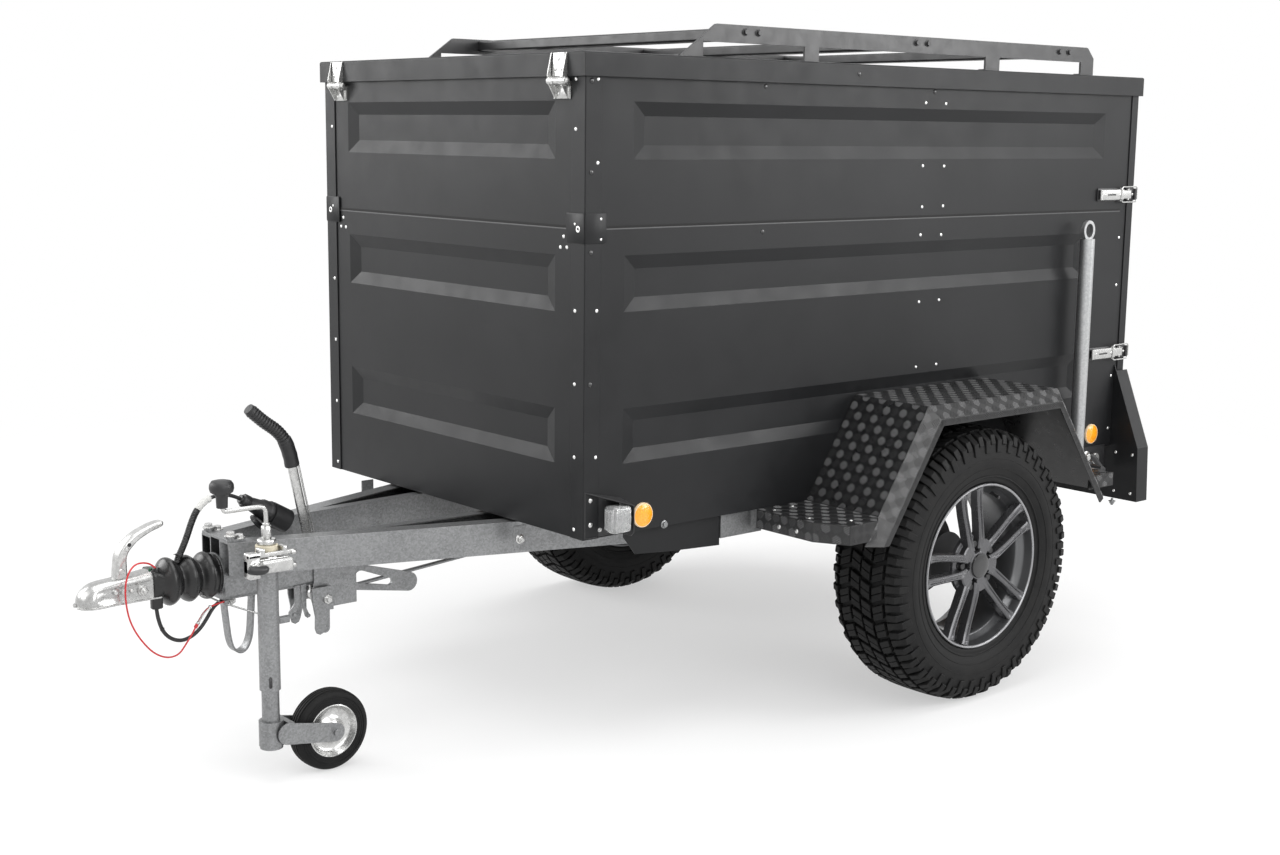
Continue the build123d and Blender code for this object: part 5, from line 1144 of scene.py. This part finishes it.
# Rivets and buttons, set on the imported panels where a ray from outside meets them.
panelNodes = {
    1: ["left_wall_lower", "left_wall_upper", "corner_posts", "top_frame", "light_carrier"],
    -1: ["right_wall_lower", "right_wall_upper", "corner_posts", "top_frame", "light_carrier"],
}
sideRivets = [(-1147, 1015), (-1228, 1014), (-1144, 851), (-1230, 850), (-1147, 743), (-1232, 744),
              (-1145, 669), (-1229, 667), (-1149, 490), (-1231, 491), (-1147, 314), (-1230, 315),
              (-36, 1046), (-36, 862), (-36, 530), (-36, 192), (-46, 737), (-46, 691), (-2049, 635),
              (-2049, 493), (-2049, 217), (-2049, 56)]
sideButtons = [(-18, 1042), (-18, 841), (-18, 662), (-18, 362), (-558, 1042), (-1181, 1044), (-558, 694)]
frontRivets = [(482, 695), (494, 671), (470, 670), (528, 1046), (528, 936), (528, 725), (528, 529),
               (528, 361), (528, 191), (528, 21), (509, 736), (509, 690)]
rearRivets = [(545, 733), (545, 699), (545, 493), (545, 252)]
carrierRivets = [(583, -17), (642, -18), (583, -137), (642, -137), (557, 53), (555, 215)]


def seatedOnSides(places, names=None, far=700):
    # the same (x, z) places on both sides, met from far out, on the side's own panels unless others are named
    return gathered([seated([(x, side * far, z) for x, z in places], (0, -side, 0),
                            *(names or panelNodes[side]))
                     for side in (1, -1)])


rivetShell, buttonShell = domeShell(4.6 * mm, 2.2 * mm), domeShell(6.5 * mm, 3.0 * mm)
rivetSets = []
for side in (1, -1):
    rivetSets.append(seated([(x, side * 700, z) for x, z in sideRivets], (0, -side, 0), *panelNodes[side]))
    rivetSets.append(seated([(60, side * y, z) for y, z in frontRivets], (-1, 0, 0), "front_wall_lower",
                            "front_wall_upper", "corner_posts", "top_frame"))
    rivetSets.append(seated([(-2140, side * y, z) for y, z in rearRivets], (1, 0, 0), "corner_posts",
                            "top_frame"))
    rivetSets.append(seated([(-2000, side * y, z) for y, z in carrierRivets], (-1, 0, 0), "light_carrier"))
where, out = gathered(rivetSets)
makePiece("panelRivets", *strewn(rivetShell, where, out), "trailer", rivetSteel, 40, "zinc")
where, out = seatedOnSides(sideButtons)
makePiece("panelButtons", *strewn(buttonShell, where, out), "trailer", glossBlack, 40, "black_steel")
where, out = seatedOnSides([(-874, 1081)], ["lid"])
makePiece("lidButtons", *strewn(buttonShell, where, out), "lid", glossBlack, 40, "black_steel")

# Joint plates folded round the front corners, with a ringed eye, and bolts under the side edges.
jointPlate = {"low": 682, "high": 750, "sideBack": -62, "frontIn": 496, "thick": 1.6, "eye": (1, 540, 714)}
eyeProfile = [(0, 3.5), (0, 7.5), (1.2, 7.5), (1.8, 6.6), (1.8, 4.4), (1.2, 3.5)]
cornerParts, eyeParts = [], []
for side in (1, -1):
    sideFace = side * (sideY / mm)
    near, far = sorted((sideFace, sideFace + side * jointPlate["thick"]))
    cornerParts.append(slab((jointPlate["sideBack"], near, jointPlate["low"]), (0, far, jointPlate["high"]),
                            1, 5, 0.4))
    near, far = sorted((side * jointPlate["frontIn"], sideFace))
    cornerParts.append(slab((0, near, jointPlate["low"]), (jointPlate["thick"], far, jointPlate["high"]), 0,
                            5, 0.4))
    eye = np.array(jointPlate["eye"]) * (1, side, 1)
    eyeParts.append(spun(eyeProfile, eye, (1, 0, 0), 20, closed=True))
boxPiece("cornerPlates", cornerParts, "trailer", coat, 40, "black_sheet")
boxPiece("cornerEyes", eyeParts, "trailer", rivetSteel, 40, "zinc")
where, out = seatedOnSides([(-185, -4), (-251, 4)])
edgeBolt = boltShell(13 * mm, 6 * mm, 10 * mm)
makePiece("edgeBolts", *strewn(edgeBolt, where, out), "trailer", zincDip, 40, "galvanised")

# Painted shade and painted highlight at the joint between the lower and upper wall sheets: a near-black strip
# stands in for the shadow in the joint, and a lighter strip under it for the highlight on the lower sheet's
# folded edge.
jointZ = 716
jointShades, foldHighlights = [], []
for side in (1, -1):
    low, high = sorted((side * (skin - 0.5), side * (skin + 0.35)))
    jointShades.append(slab((-2046, low, jointZ - 1), (-62, high, jointZ + 5), 0, 0.3, 0.1))
    foldHighlights.append(slab((-2046, low, jointZ - 4), (-62, high, jointZ - 1.2), 0, 0.3, 0.1))
jointShades.append(slab((-3.5, -497, jointZ - 1), (-2.6, 497, jointZ + 5), 1, 0.3, 0.1))
foldHighlights.append(slab((-3.5, -497, jointZ - 4), (-2.6, 497, jointZ - 1.2), 1, 0.3, 0.1))
boxPiece("wallJointShade", jointShades, "trailer", paintedGapShade, 40, "black_sheet")
boxPiece("wallFoldHighlight", foldHighlights, "trailer", paintedFoldHighlight, 40, "black_sheet")

# Side reflectors: an amber prism disc in a pale rim, near the front and near the rear of each side.
discs, rims = [], []
for side in (1, -1):
    for x, z in ((-181, 37), (-1959, 47)):
        y = side * skin
        discs.append(spun([(0, 0.5), (0, 27.5), (5.5, 27.5), (7, 25.5), (7.6, 0.5)], (x, y, z),
                          (0, side, 0), 40))
        rims.append(spun([(-1, 27.2), (-1, 30), (4, 30), (6, 28.6), (6, 27.2)], (x, y, z), (0, side, 0), 40,
                         closed=True))
boxPiece("reflectorDiscs", discs, "trailer", amberLens)
boxPiece("reflectorRims", rims, "trailer", amberRim)
print("rivets and reflectors made")


def twice(*shells):
    # shells drawn on the left side, with their mirror images for the right
    mirrored = [(np.asarray(points).reshape(-1, 3) * (1, -1, 1), faces) for points, faces in shells]
    return list(shells) + mirrored


def bolt(place, direction, width=17, height=9, washer=15, stud=0):
    # a bolt head on its washer, in the box's frame
    points, faces = boltShell(width, height, washer, stud)
    return points @ facing(direction).T + np.asarray(place, float), faces


def button(place, direction, radius=5, height=2.5):
    points, faces = domeShell(radius, height)
    return points @ facing(direction).T + np.asarray(place, float), faces


# Front position lamps: a ribbed clear block on a folded black bracket with two screws.
lipTop = np.array([(-5, 560.5, 113), (-112, 560.5, 88), (-112, 614, 78)])
bracket = twice(
    plate([(-112, 4), (-5, 4), (-5, 113), (-112, 88)], 559.7, 562.2, 1),
    plate([(560, 4), (604, 4), (614, 14), (614, 78), (560, 88)], -112, -109.5, 0),
    tube([lipTop, lipTop - (0, 0, 2.2)]),
    bent([(-5, 562.5, 113), (-5, 562.5, 4), (-40, 562.5, 4)], 1.6, 8),
    rod((-109, 592, 46), (-96, 592, 46), 19, 24, 2))
lampPiece = boxPiece("lampBrackets", bracket, "trailer", satinBlack, 40, "black_sheet")
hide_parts("position_lamps")
screws = twice(*[button((-22, 562, z), (0, 1, 0), 6.5, 3) for z in (92, 34)],
               bolt((-48, 560, 20), (0, 1, 0), 10, 5, 8, 3))
boxPiece("lampScrews", screws, "trailer", zincPlate, 40, "zinc")
ribs = [rod((-54.6, y, 22), (-54.6, y, 71), 2.0, 8, 0.5) for y in np.arange(577, 606, 5.6)]
ribs += [rod((x, 612.2, 22), (x, 612.2, 71), 2.0, 8, 0.5) for x in np.arange(-100, -60, 5.6)]
boxPiece("lampLenses", twice(slab((-107, 570, 15), (-55, 612, 78), 0, 9, 5), *ribs), "trailer", clearLens,
         45, "clear_lens")
boxPiece("lampMirrors", twice(slab((-106, 575, 20), (-94, 607, 73), 0, 8, 3)), "trailer", rivetSteel, 40,
         "clear_lens")

# Tail lamps: a dark housing with red, clear and amber windows, and a small lamp over the plate.
tailFace = -2117.6
housing = [slab((-2109, 427, -148), (-2066, 649, -16), 0, 7, 2)]
for y in (428, 503, 576):
    housing.append(slab((-2112, y - 1.6, -146), (-2106, y + 1.6, -18), 0, 1, 0.4))
tailPiece = boxPiece("tailHousings", twice(*housing), "trailer", darkPlastic, 40, "red_lens")
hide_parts("tail_lamps")
for name, low, high, finish in (("tailRed", 431, 500, redLens), ("tailClear", 506, 573, clearLens),
                                ("tailAmber", 579, 646, amberLens)):
    window = [slab((tailFace, low, -145), (-2105, high, -19), 0, 6, 2.5)]
    for z in np.arange(-134, -28, 9.5):
        window.append(rod((-2117.2, low + 7, z), (-2117.2, high - 7, z), 1.1, 6, 0.3))
    boxPiece(name, twice(*window), "trailer", finish, 45, "red_lens")
boxPiece("plateLamps", twice(slab((-2090, 200, -40), (-2062, 248, -18), 1, 5, 2)), "trailer", darkPlastic,
         40, "black_plastic")

# Over-centre latches at the rear corners: black base and catch, bright lever with a slot, and a wire loop.
latchZ = (290, 763)
bases, levers, loops = [], [], []
for z in latchZ:
    bases += [slab((-2050, 559.4, z - 19), (-1926, 563, z + 19), 1, 3, 0.6),
              slab((-2104, 562.2, z - 18), (-2062, 567.5, z + 18), 1, 3, 0.8),
              rod((-2104, 569, z - 17), (-2104, 569, z + 17), 4.2, 12),
              slab((-2004, 572.4, z - 2.4), (-1962, 573.5, z + 2.4), 1, 2, 0.2)]
    levers += [slab((-2046, 565, z - 15.5), (-1934, 573, z + 15.5), 0, 3, 1.5),
               rod((-1934, 570, z - 15), (-1934, 570, z + 15), 4.6, 14),
               slab((-2082, 566, z - 12.5), (-2040, 572, z + 12.5), 0, 2.5, 1.2),
               rod((-2034, 568, z - 20), (-2034, 568, z + 20), 4.4, 14),
               rod((-2071, 568, z - 17), (-2071, 568, z + 17), 3.4, 12),
               button((-2093, 567, z), (0, 1, 0), 4.5, 2.6), button((-1950, 573, z), (0, 1, 0), 4.0, 1.6),
               button((-2024, 573, z), (0, 1, 0), 4.0, 1.6)]
    loop = boxed(82, 45, 9, 8) + (-2071, z)
    way = np.stack([loop[:, 0], 574.5 - 3.5 * np.clip((-2080 - loop[:, 0]) / 28, 0, 1), loop[:, 1]], 1)
    loops.append(tube(carried(way, ring(2.0, 10), (0, 1, 0), True), closed=True))
boxPiece("latchBases", twice(*bases), "trailer", satinBlack, 40, "black_sheet")
latch = boxPiece("latchLevers", twice(*levers, *loops), "trailer", zincPlate, 40, "zinc")
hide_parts("side_latches")

# Lid hinges at the front: strap with tapering flanges on the lid, gusset bracket on the box, pin between.
strapSide = [(9, 1104), (12, 1104), (23, 1058), (23, 1040), (17, 1034), (9, 1050)]
gusset = [(0, 1003), (5, 1003), (23, 1034), (23, 1050), (13, 1050), (0, 1046)]
middle = 480
straps = [plate([(middle - 24, 1052), (middle + 24, 1052), (middle + 20, 1104), (middle - 20, 1104)], 9,
                11.6, 0)]
straps += [plate(strapSide, middle + y, middle + y + 2.6, 1) for y in (-28.6, 26)]
straps += [rod((14, middle + a, 1042), (14, middle + b, 1042), 8.6, 20) for a, b in ((-28, -15), (15, 28))]
strapButtons = ((-11, 1068), (11, 1068), (0, 1090))
straps += [button((11.6, middle + y, z), (1, 0, 0), 4.6, 2.2) for y, z in strapButtons]
mounts = [plate(gusset, middle + y, middle + y + 2.6, 1) for y in (-24, 21.4)]
mounts += [slab((0, middle - 25, 1003), (2.6, middle + 25, 1040), 0, 3, 0.5),
           rod((14, middle - 14.5, 1042), (14, middle + 14.5, 1042), 8.6, 20)]
mounts += [rod((14, middle - 38, 1042), (14, middle + 38, 1042), 4.2, 14),
           bolt((14, middle + 29, 1042), (0, 1, 0), 12, 6, 9),
           bolt((14, middle - 29, 1042), (0, -1, 0), 12, 7, 9)]
mounts += [button((2.6, middle + y, 1014), (1, 0, 0), 4.6, 2.2) for y in (-12, 12)]
strapPiece = boxPiece("hingeStraps", twice(*straps), "lid", zincPlate, 40, "zinc")
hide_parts("lid_hinge_straps")
boxPiece("hingeBrackets", twice(*mounts), "trailer", zincPlate, 40, "zinc")

# Bolts of the roof rails: a pair at each crossbar.
railPlaces = [(x + step, 1168) for x in (-518, -1135, -1747) for step in (-22, 22)]
where, out = seatedOnSides(railPlaces, ["roof_rails"], 620)
railBolts = strewn(boltShell(12 * mm, 6 * mm, 9 * mm), where, out)
makePiece("railBolts", *railBolts, "lid", satinBlack, 40, "black_steel")

# Under the floor: black side plates ahead of the frame, and the bolts and knobs of the stand clamps.
valance = [(-140, 0), (-140, -16), (-177, -62), (-300, -72), (-451, -80), (-451, 0)]
boxPiece("underPlates", twice(plate(valance, 538, 541, 1)), "trailer", coat, 40, "black_sheet")
clampParts = twice(
    bolt((-1908, 585, -14), (0, 1, 0), 20, 10, 17), rod((-1967, 571, -27), (-1967, 580, -27), 17, 24, 2),
    bolt((-1955, 571, -62), (0, 1, 0), 15, 8, 12, 5), rod((-1908, 571, -14), (-1908, 590, -14), 11, 16))
boxPiece("standBolts", clampParts, "trailer", zincPlate, 40, "zinc")
knobLine = smoothLine([(-1916, 592, -8), (-1934, 598, -22), (-1955, 602, -46), (-1976, 604, -64)], 24)
knobSize = np.interp(np.linspace(0, 1, 24), [0, 0.15, 0.5, 0.9, 1], [6, 9, 8, 10, 5])
boxPiece("standKnobs", twice(swollen(knobLine, knobSize)), "trailer", darkPlastic, 50, "black_plastic")
hangers = twice(rod((-1973, 640, -140), (-1973, 640, -159), 4, 12),
                bolt((-1973, 640, -148), (0, 0, -1), 13, 7, 11, 4))
boxPiece("carrierBolts", hangers, "trailer", zincDip, 40, "galvanised")
print("lamps, latches, hinges and under-floor parts made")

# Drawbar: bolts through the bridge and brackets, the strap under the overrun housing and the tab at the box.
strapLine = smoothLine([(624, 0, -148), (619, 0, -200), (613, 0, -250), (604, 0, -276), (588, 0, -287),
                        (571, 0, -278), (559, 0, -250), (554, 0, -200), (550, 0, -148)], 80)
strapU = boxPiece("towStrap", [tube(carried(strapLine, boxed(30, 5, 1.6), (0, 1, 0)))], "trailer", zincDip,
                  50, "galvanised")
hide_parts("drawbar_strap")
where, out = seated([(x, y, 60) for x in (628, 606) for y in (55, -55)], (0, 0, -1), "drawbar_bridge")
makePiece("bridgeBolts", *strewn(boltShell(18 * mm, 8 * mm, 14 * mm), where, out), "trailer", zincPlate, 40,
          "zinc")
barBolts = twice(bolt((383, 57, -181), (0, 1, 0), 22, 10, 18, 7),
                 bolt((500, 50, -86), (0, 1, 0), 15, 7, 13), bolt((431, 50, -86), (0, 1, 0), 15, 7, 13),
                 bolt((20, 345, -33), (0, 1, 0), 15, 8, 12, 5))
barBolts += [bolt((609, 12, -157), (0, 1, 0), 13, 9, 11, 4), rod((609, 0, -172), (609, 0, -150), 6, 12)]
boxPiece("drawbarBolts", barBolts, "trailer", zincPlate, 40, "zinc")
hookPlate = [(424, -150), (422, -189), (416, -220), (417, -250), (413, -262), (404, -267), (394, -263),
             (389, -252), (381, -221), (387, -207), (366, -209), (366, -172), (372, -150)]
linkA = [(461, -140), (446, -140), (447, -189), (463, -214), (472, -218), (478, -212), (476, -202),
         (459, -182)]
linkB = [(445, -140), (430, -140), (430, -200), (422, -219), (427, -225), (433, -220), (443, -185)]
links = [plate(hookPlate, 57.4, 62, 1), plate(linkA, 40, 45, 1), plate(linkB, 40, 45, 1),
         plate(hookPlate, -62, -57.4, 1), slab((476, 33, -226), (503, 47, -210), 0, 2, 1),
         rod((463, 36, -210), (463, 49, -210), 5, 12), rod((426, 36, -218), (426, 49, -218), 4.5, 12)]
links += twice(plate([(6, -60), (34, -60), (38, -42), (38, 0), (2, 0), (2, -42)], 341, 345, 1))
boxPiece("brakeLinks", links, "trailer", zincDip, 40, "galvanised")
wireLine = smoothLine([(690, 22, -128), (667, 22, -139), (629, 22, -160), (541, 26, -200), (503, 40, -217)],
                      30)
boxPiece("brakeWire", [bent(wireLine, 2.2, 10)], "trailer", zincCast, 50, "galvanised")

# Handbrake: a flat bar up from its pivot, a cranked ribbed grip and the pawl's wire beside it.
barLine = smoothLine([(383, 0, -181), (395, 0, -60), (404, 0, -8), (421, 0, 70), (436, 0, 142)], 40)
brakeParts = [tube(carried(barLine, boxed(9, 23, 2), (0, 1, 0))),
              rod((383, -12, -181), (383, 12, -181), 17, 28, 2)]
brakeParts.append(bent(barLine[14:] + (-13, 9, 0), 2.4, 8))
lever = boxPiece("handbrakeBar", brakeParts, "trailer", zincPlate, 45, "zinc")
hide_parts("handbrake_lever")
gripLine = smoothLine([(435, 0, 140), (441, 0, 168), (454, 0, 203), (476, 0, 230), (510, 0, 256),
                       (560, 0, 300)], 120)
gripParts = [sleeve(gripLine, 0, 70, 17.5, 0.25, 24, 22, 2),
             sleeve(gripLine, 66, 186, 15.5, 0.7, 8, 22, 1.2)]
gripParts.append(sleeve(gripLine, 182, 192, 14, 0, 5, 22, 2))
boxPiece("brakeGrip", gripParts, "trailer", darkPlastic, 50, "black_plastic")

# Jockey wheel: clamp with its toggle, cream bearing ring, cranked handle with a knob.
clampShells = [slab((644, 200, -56), (672, 226, 2), 1, 4, 1.2),
               slab((560, 214, -10), (672, 226, 0), 0, 3, 1.5),
               slab((566, 218, -46), (644, 236, -16), 0, 6, 3),
               slab((566, 200, -44), (672, 218, -14), 0, 4, 1.5),
               rod((609, 190, -48), (609, 190, -10), 28.5, 32, 2.5),
               bolt((658, 226, -27), (0, 1, 0), 19, 9, 15, 6), rod((556, 224, -6), (568, 224, -6), 6, 14),
               rod((556, 224, -36), (568, 224, -36), 6, 14), slab((577, 200, -4), (587, 226, 10), 1, 3, 1),
               slab((632, 200, -4), (642, 226, 10), 1, 3, 1)]
clampPiece = boxPiece("jockeyClamp", clampShells, bodyOf["jockey_clamp"], zincPlate, 45, "zinc")
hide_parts("jockey_clamp")
toggleLine = smoothLine([(680, 236, -26), (672, 240, -30), (650, 242, -33), (632, 238, -31)], 24)
toggleSize = np.interp(np.linspace(0, 1, 24), [0, 0.12, 0.5, 0.88, 1], [5, 9.5, 10.5, 9, 4])
boxPiece("jockeyToggle", [swollen(toggleLine, toggleSize, 16)], "trailer", darkPlastic, 50, "black_plastic")
axisX, axisY = 609, 190
boxPiece("jockeyRing", [rod((axisX, axisY, -9), (axisX, axisY, 11), 25.5, 36, 1.5)], "trailer",
         creamPlastic)
crankLine = smoothLine([(axisX, axisY, 20), (axisX, axisY, 78), (axisX + 3, axisY, 92),
                        (axisX + 14, axisY, 98), (axisX + 60, axisY, 99), (axisX + 92, axisY, 99),
                        (axisX + 103, axisY, 103), (axisX + 106, axisY, 122)], 70)
crankShells = [bent(crankLine, 5.2, 14), rod((axisX, axisY, 11), (axisX, axisY, 24), 21.5, 32, 2),
               rod((axisX, axisY, 24), (axisX, axisY, 54), 11.5, 22, 1.5),
               rod((axisX, axisY, 54), (axisX, axisY, 60), 8, 18),
               rod((axisX, axisY - 16, 38), (axisX, axisY + 16, 38), 3, 10)]
crank = boxPiece("jockeyCrank", crankShells, bodyOf["jockey_crank"], zincPlate, 45, "zinc")
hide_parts("jockey_crank")
knobProfile = [(0, 11), (1, 12.5), (26, 13.5), (31, 17), (36, 25), (44, 27.3), (53, 26.6), (60, 22),
               (62, 14), (62.3, 0.5)]
knob = spun(knobProfile, (axisX + 106, axisY, 108), (0, 0, 1), 36)
boxPiece("crankKnob", [knob], bodyOf["jockey_crank"], darkPlastic, 45, "black_plastic")

# Its wheel: a pressed zinc disc, and a solid tyre with grooves round the tread and rings on the side.
wheelCentre = (461, 190, -452)
treadLine = [(-25, 63), (-25.4, 72), (-24.6, 84), (-22, 90.5), (-17.5, 94.2), (-15.6, 94.6), (-14.6, 91.5),
             (-12.4, 91.5), (-11.4, 95.2), (-6.4, 95.6), (-5.4, 92.3), (-3.2, 92.3), (-2.2, 95.6),
             (0, 95.6)]
treadLine = treadLine + [(-a, r) for a, r in treadLine[-2::-1]]
tyreShell = spun(treadLine + [(20, 60), (-20, 60)], wheelCentre, (0, 1, 0), 72)
sideRings = []
for a in (-25.3, 25.3):
    for r in (69, 75, 81):
        circle = turned([(a, r)], wheelCentre, (0, 1, 0), 72)[0]
        sideRings.append(tube(carried(circle, ring(0.9, 6), (0, 1, 0), True), closed=True))
smallTyre = boxPiece("jockeyTyre", [tyreShell, *sideRings], bodyOf["jockey_tyre"], rubberTyre, 35, "rubber")
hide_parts("jockey_tyre")
disc = [(-24.6, 62.8), (-25.4, 60.5), (-22, 58), (-14, 54), (-9, 49), (-8, 38), (-11, 28), (-18, 23),
        (-20, 17), (-26, 16.5), (-26, 6.5), (26, 6.5), (26, 16.5), (20, 17), (18, 23), (11, 28), (8, 38),
        (9, 49), (14, 54), (22, 58), (25.4, 60.5), (24.6, 62.8)]
smallRim = boxPiece("jockeyDisc", [spun(disc, wheelCentre, (0, 1, 0), 60, closed=True)],
                    bodyOf["jockey_rim"], zincPlate, 40, "steel_rim")
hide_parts("jockey_rim")
# a thin black strip on the jockey tube: painted shade standing in for its slot
boxPiece("tubeSlotShade", [slab((616, 213, -318), (624, 214.6, -292), 1, 3.9, 0.2)], "trailer", satinBlack)
print("drawbar fittings and jockey wheel made")


# Camera, lights and floor.
cameraSetting = {"place": (3.0179, 3.6248, 1.4826), "heading": 229.555, "dip": 9.678, "roll": 0.665,
                 "lens": 48.99}
camera = bpy.data.objects.new("camera", bpy.data.cameras.new("camera"))
bpy.context.scene.collection.objects.link(camera)
camera.data.lens = cameraSetting["lens"]
camera.data.sensor_width = 36
camera.data.clip_end = 60
heading = Matrix.Rotation(math.radians(cameraSetting["heading"] - 90), 4, "Z")
dip = Matrix.Rotation(math.radians(90 - cameraSetting["dip"]), 4, "X")
roll = Matrix.Rotation(math.radians(cameraSetting["roll"]), 4, "Z")
camera.matrix_world = Matrix.Translation(cameraSetting["place"]) @ heading @ dip @ roll
bpy.context.scene.camera = camera

softLights = {
    "overhead": {"place": (0.3, 0.2, 5.2), "aim": (0, 0, 0.6), "size": 5.0, "power": 190},
    "keySide": {"place": (1.2, 5.0, 3.4), "aim": (0, 0, 0.7), "size": 3.5, "power": 120},
    "frontSide": {"place": (5.0, -1.2, 3.2), "aim": (0.4, 0, 0.8), "size": 3.0, "power": 70},
    "backSide": {"place": (-4.6, -2.6, 3.2), "aim": (0, 0, 0.7), "size": 3.5, "power": 95},
    "sideSheen": {"place": (-4.3, 4.8, 3.0), "aim": (-0.3, 0.5, 1.6), "size": 3.0, "power": 200},
    "frontSheen": {"place": (3.9, -5.0, 3.0), "aim": (0.6, 0, 1.6), "size": 3.0, "power": 150},
}
for name, plan in softLights.items():
    lamp = bpy.data.lights.new(name, "AREA")
    lamp.size = plan["size"]
    lamp.energy = plan["power"]
    holder = bpy.data.objects.new(name, lamp)
    bpy.context.scene.collection.objects.link(holder)
    back = facing(np.array(plan["place"]) - np.array(plan["aim"]))
    holder.matrix_world = Matrix.Translation(plan["place"]) @ Matrix(back.tolist()).to_4x4()

world = bpy.data.worlds.new("studio")
bpy.context.scene.world = world
world.use_nodes = True
tree = world.node_tree
background = tree.nodes["Background"]
background.inputs["Color"].default_value = (1, 1, 1, 1)
tree.links.new(remap(tree, seenDirectly(tree), 0, 1, 0.55, 1.0), background.inputs["Strength"])

floorMesh = bpy.data.meshes.new("studioFloor")
reach = 30.0
corners = [(-reach, -reach, 0), (reach, -reach, 0), (reach, reach, 0), (-reach, reach, 0)]
floorMesh.from_pydata(corners, [], [(0, 1, 2, 3)])
floor = bpy.data.objects.new("studioFloor", floorMesh)
bpy.context.scene.collection.objects.link(floor)
floorFinish, tree, shader = newFinish("studioFloor")
wire(tree, shader, Base_Color=(0.86, 0.86, 0.86), Roughness=0.9, Specular_IOR_Level=0.1)
away = addNode(tree, "VectorMath", {0: inMetres(tree)}, operation="LENGTH").outputs["Value"]
# the floor glows for camera, glossy and transmission rays at half weight within 1.2 m of the middle, rising
# to full weight at 5 m; near the trailer this glow is painted light that lightens the trailer's cast shadow
fade = remap(tree, away, 1.2, 5.0, 0.5, 1.0)
glow = addNode(tree, "Emission", {"Color": (1, 1, 1, 1), "Strength": 1.0}).outputs["Emission"]
amount = calculate(tree, "MULTIPLY", fade, seenDirectly(tree))
mix = addNode(tree, "MixShader", {0: amount, 1: shader.outputs["BSDF"], 2: glow})
tree.links.new(mix.outputs[0], tree.nodes["Material Output"].inputs["Surface"])
floorMesh.materials.append(floorFinish)
bpy.context.scene.view_settings.view_transform = "Standard"
print("camera, lights and floor placed")
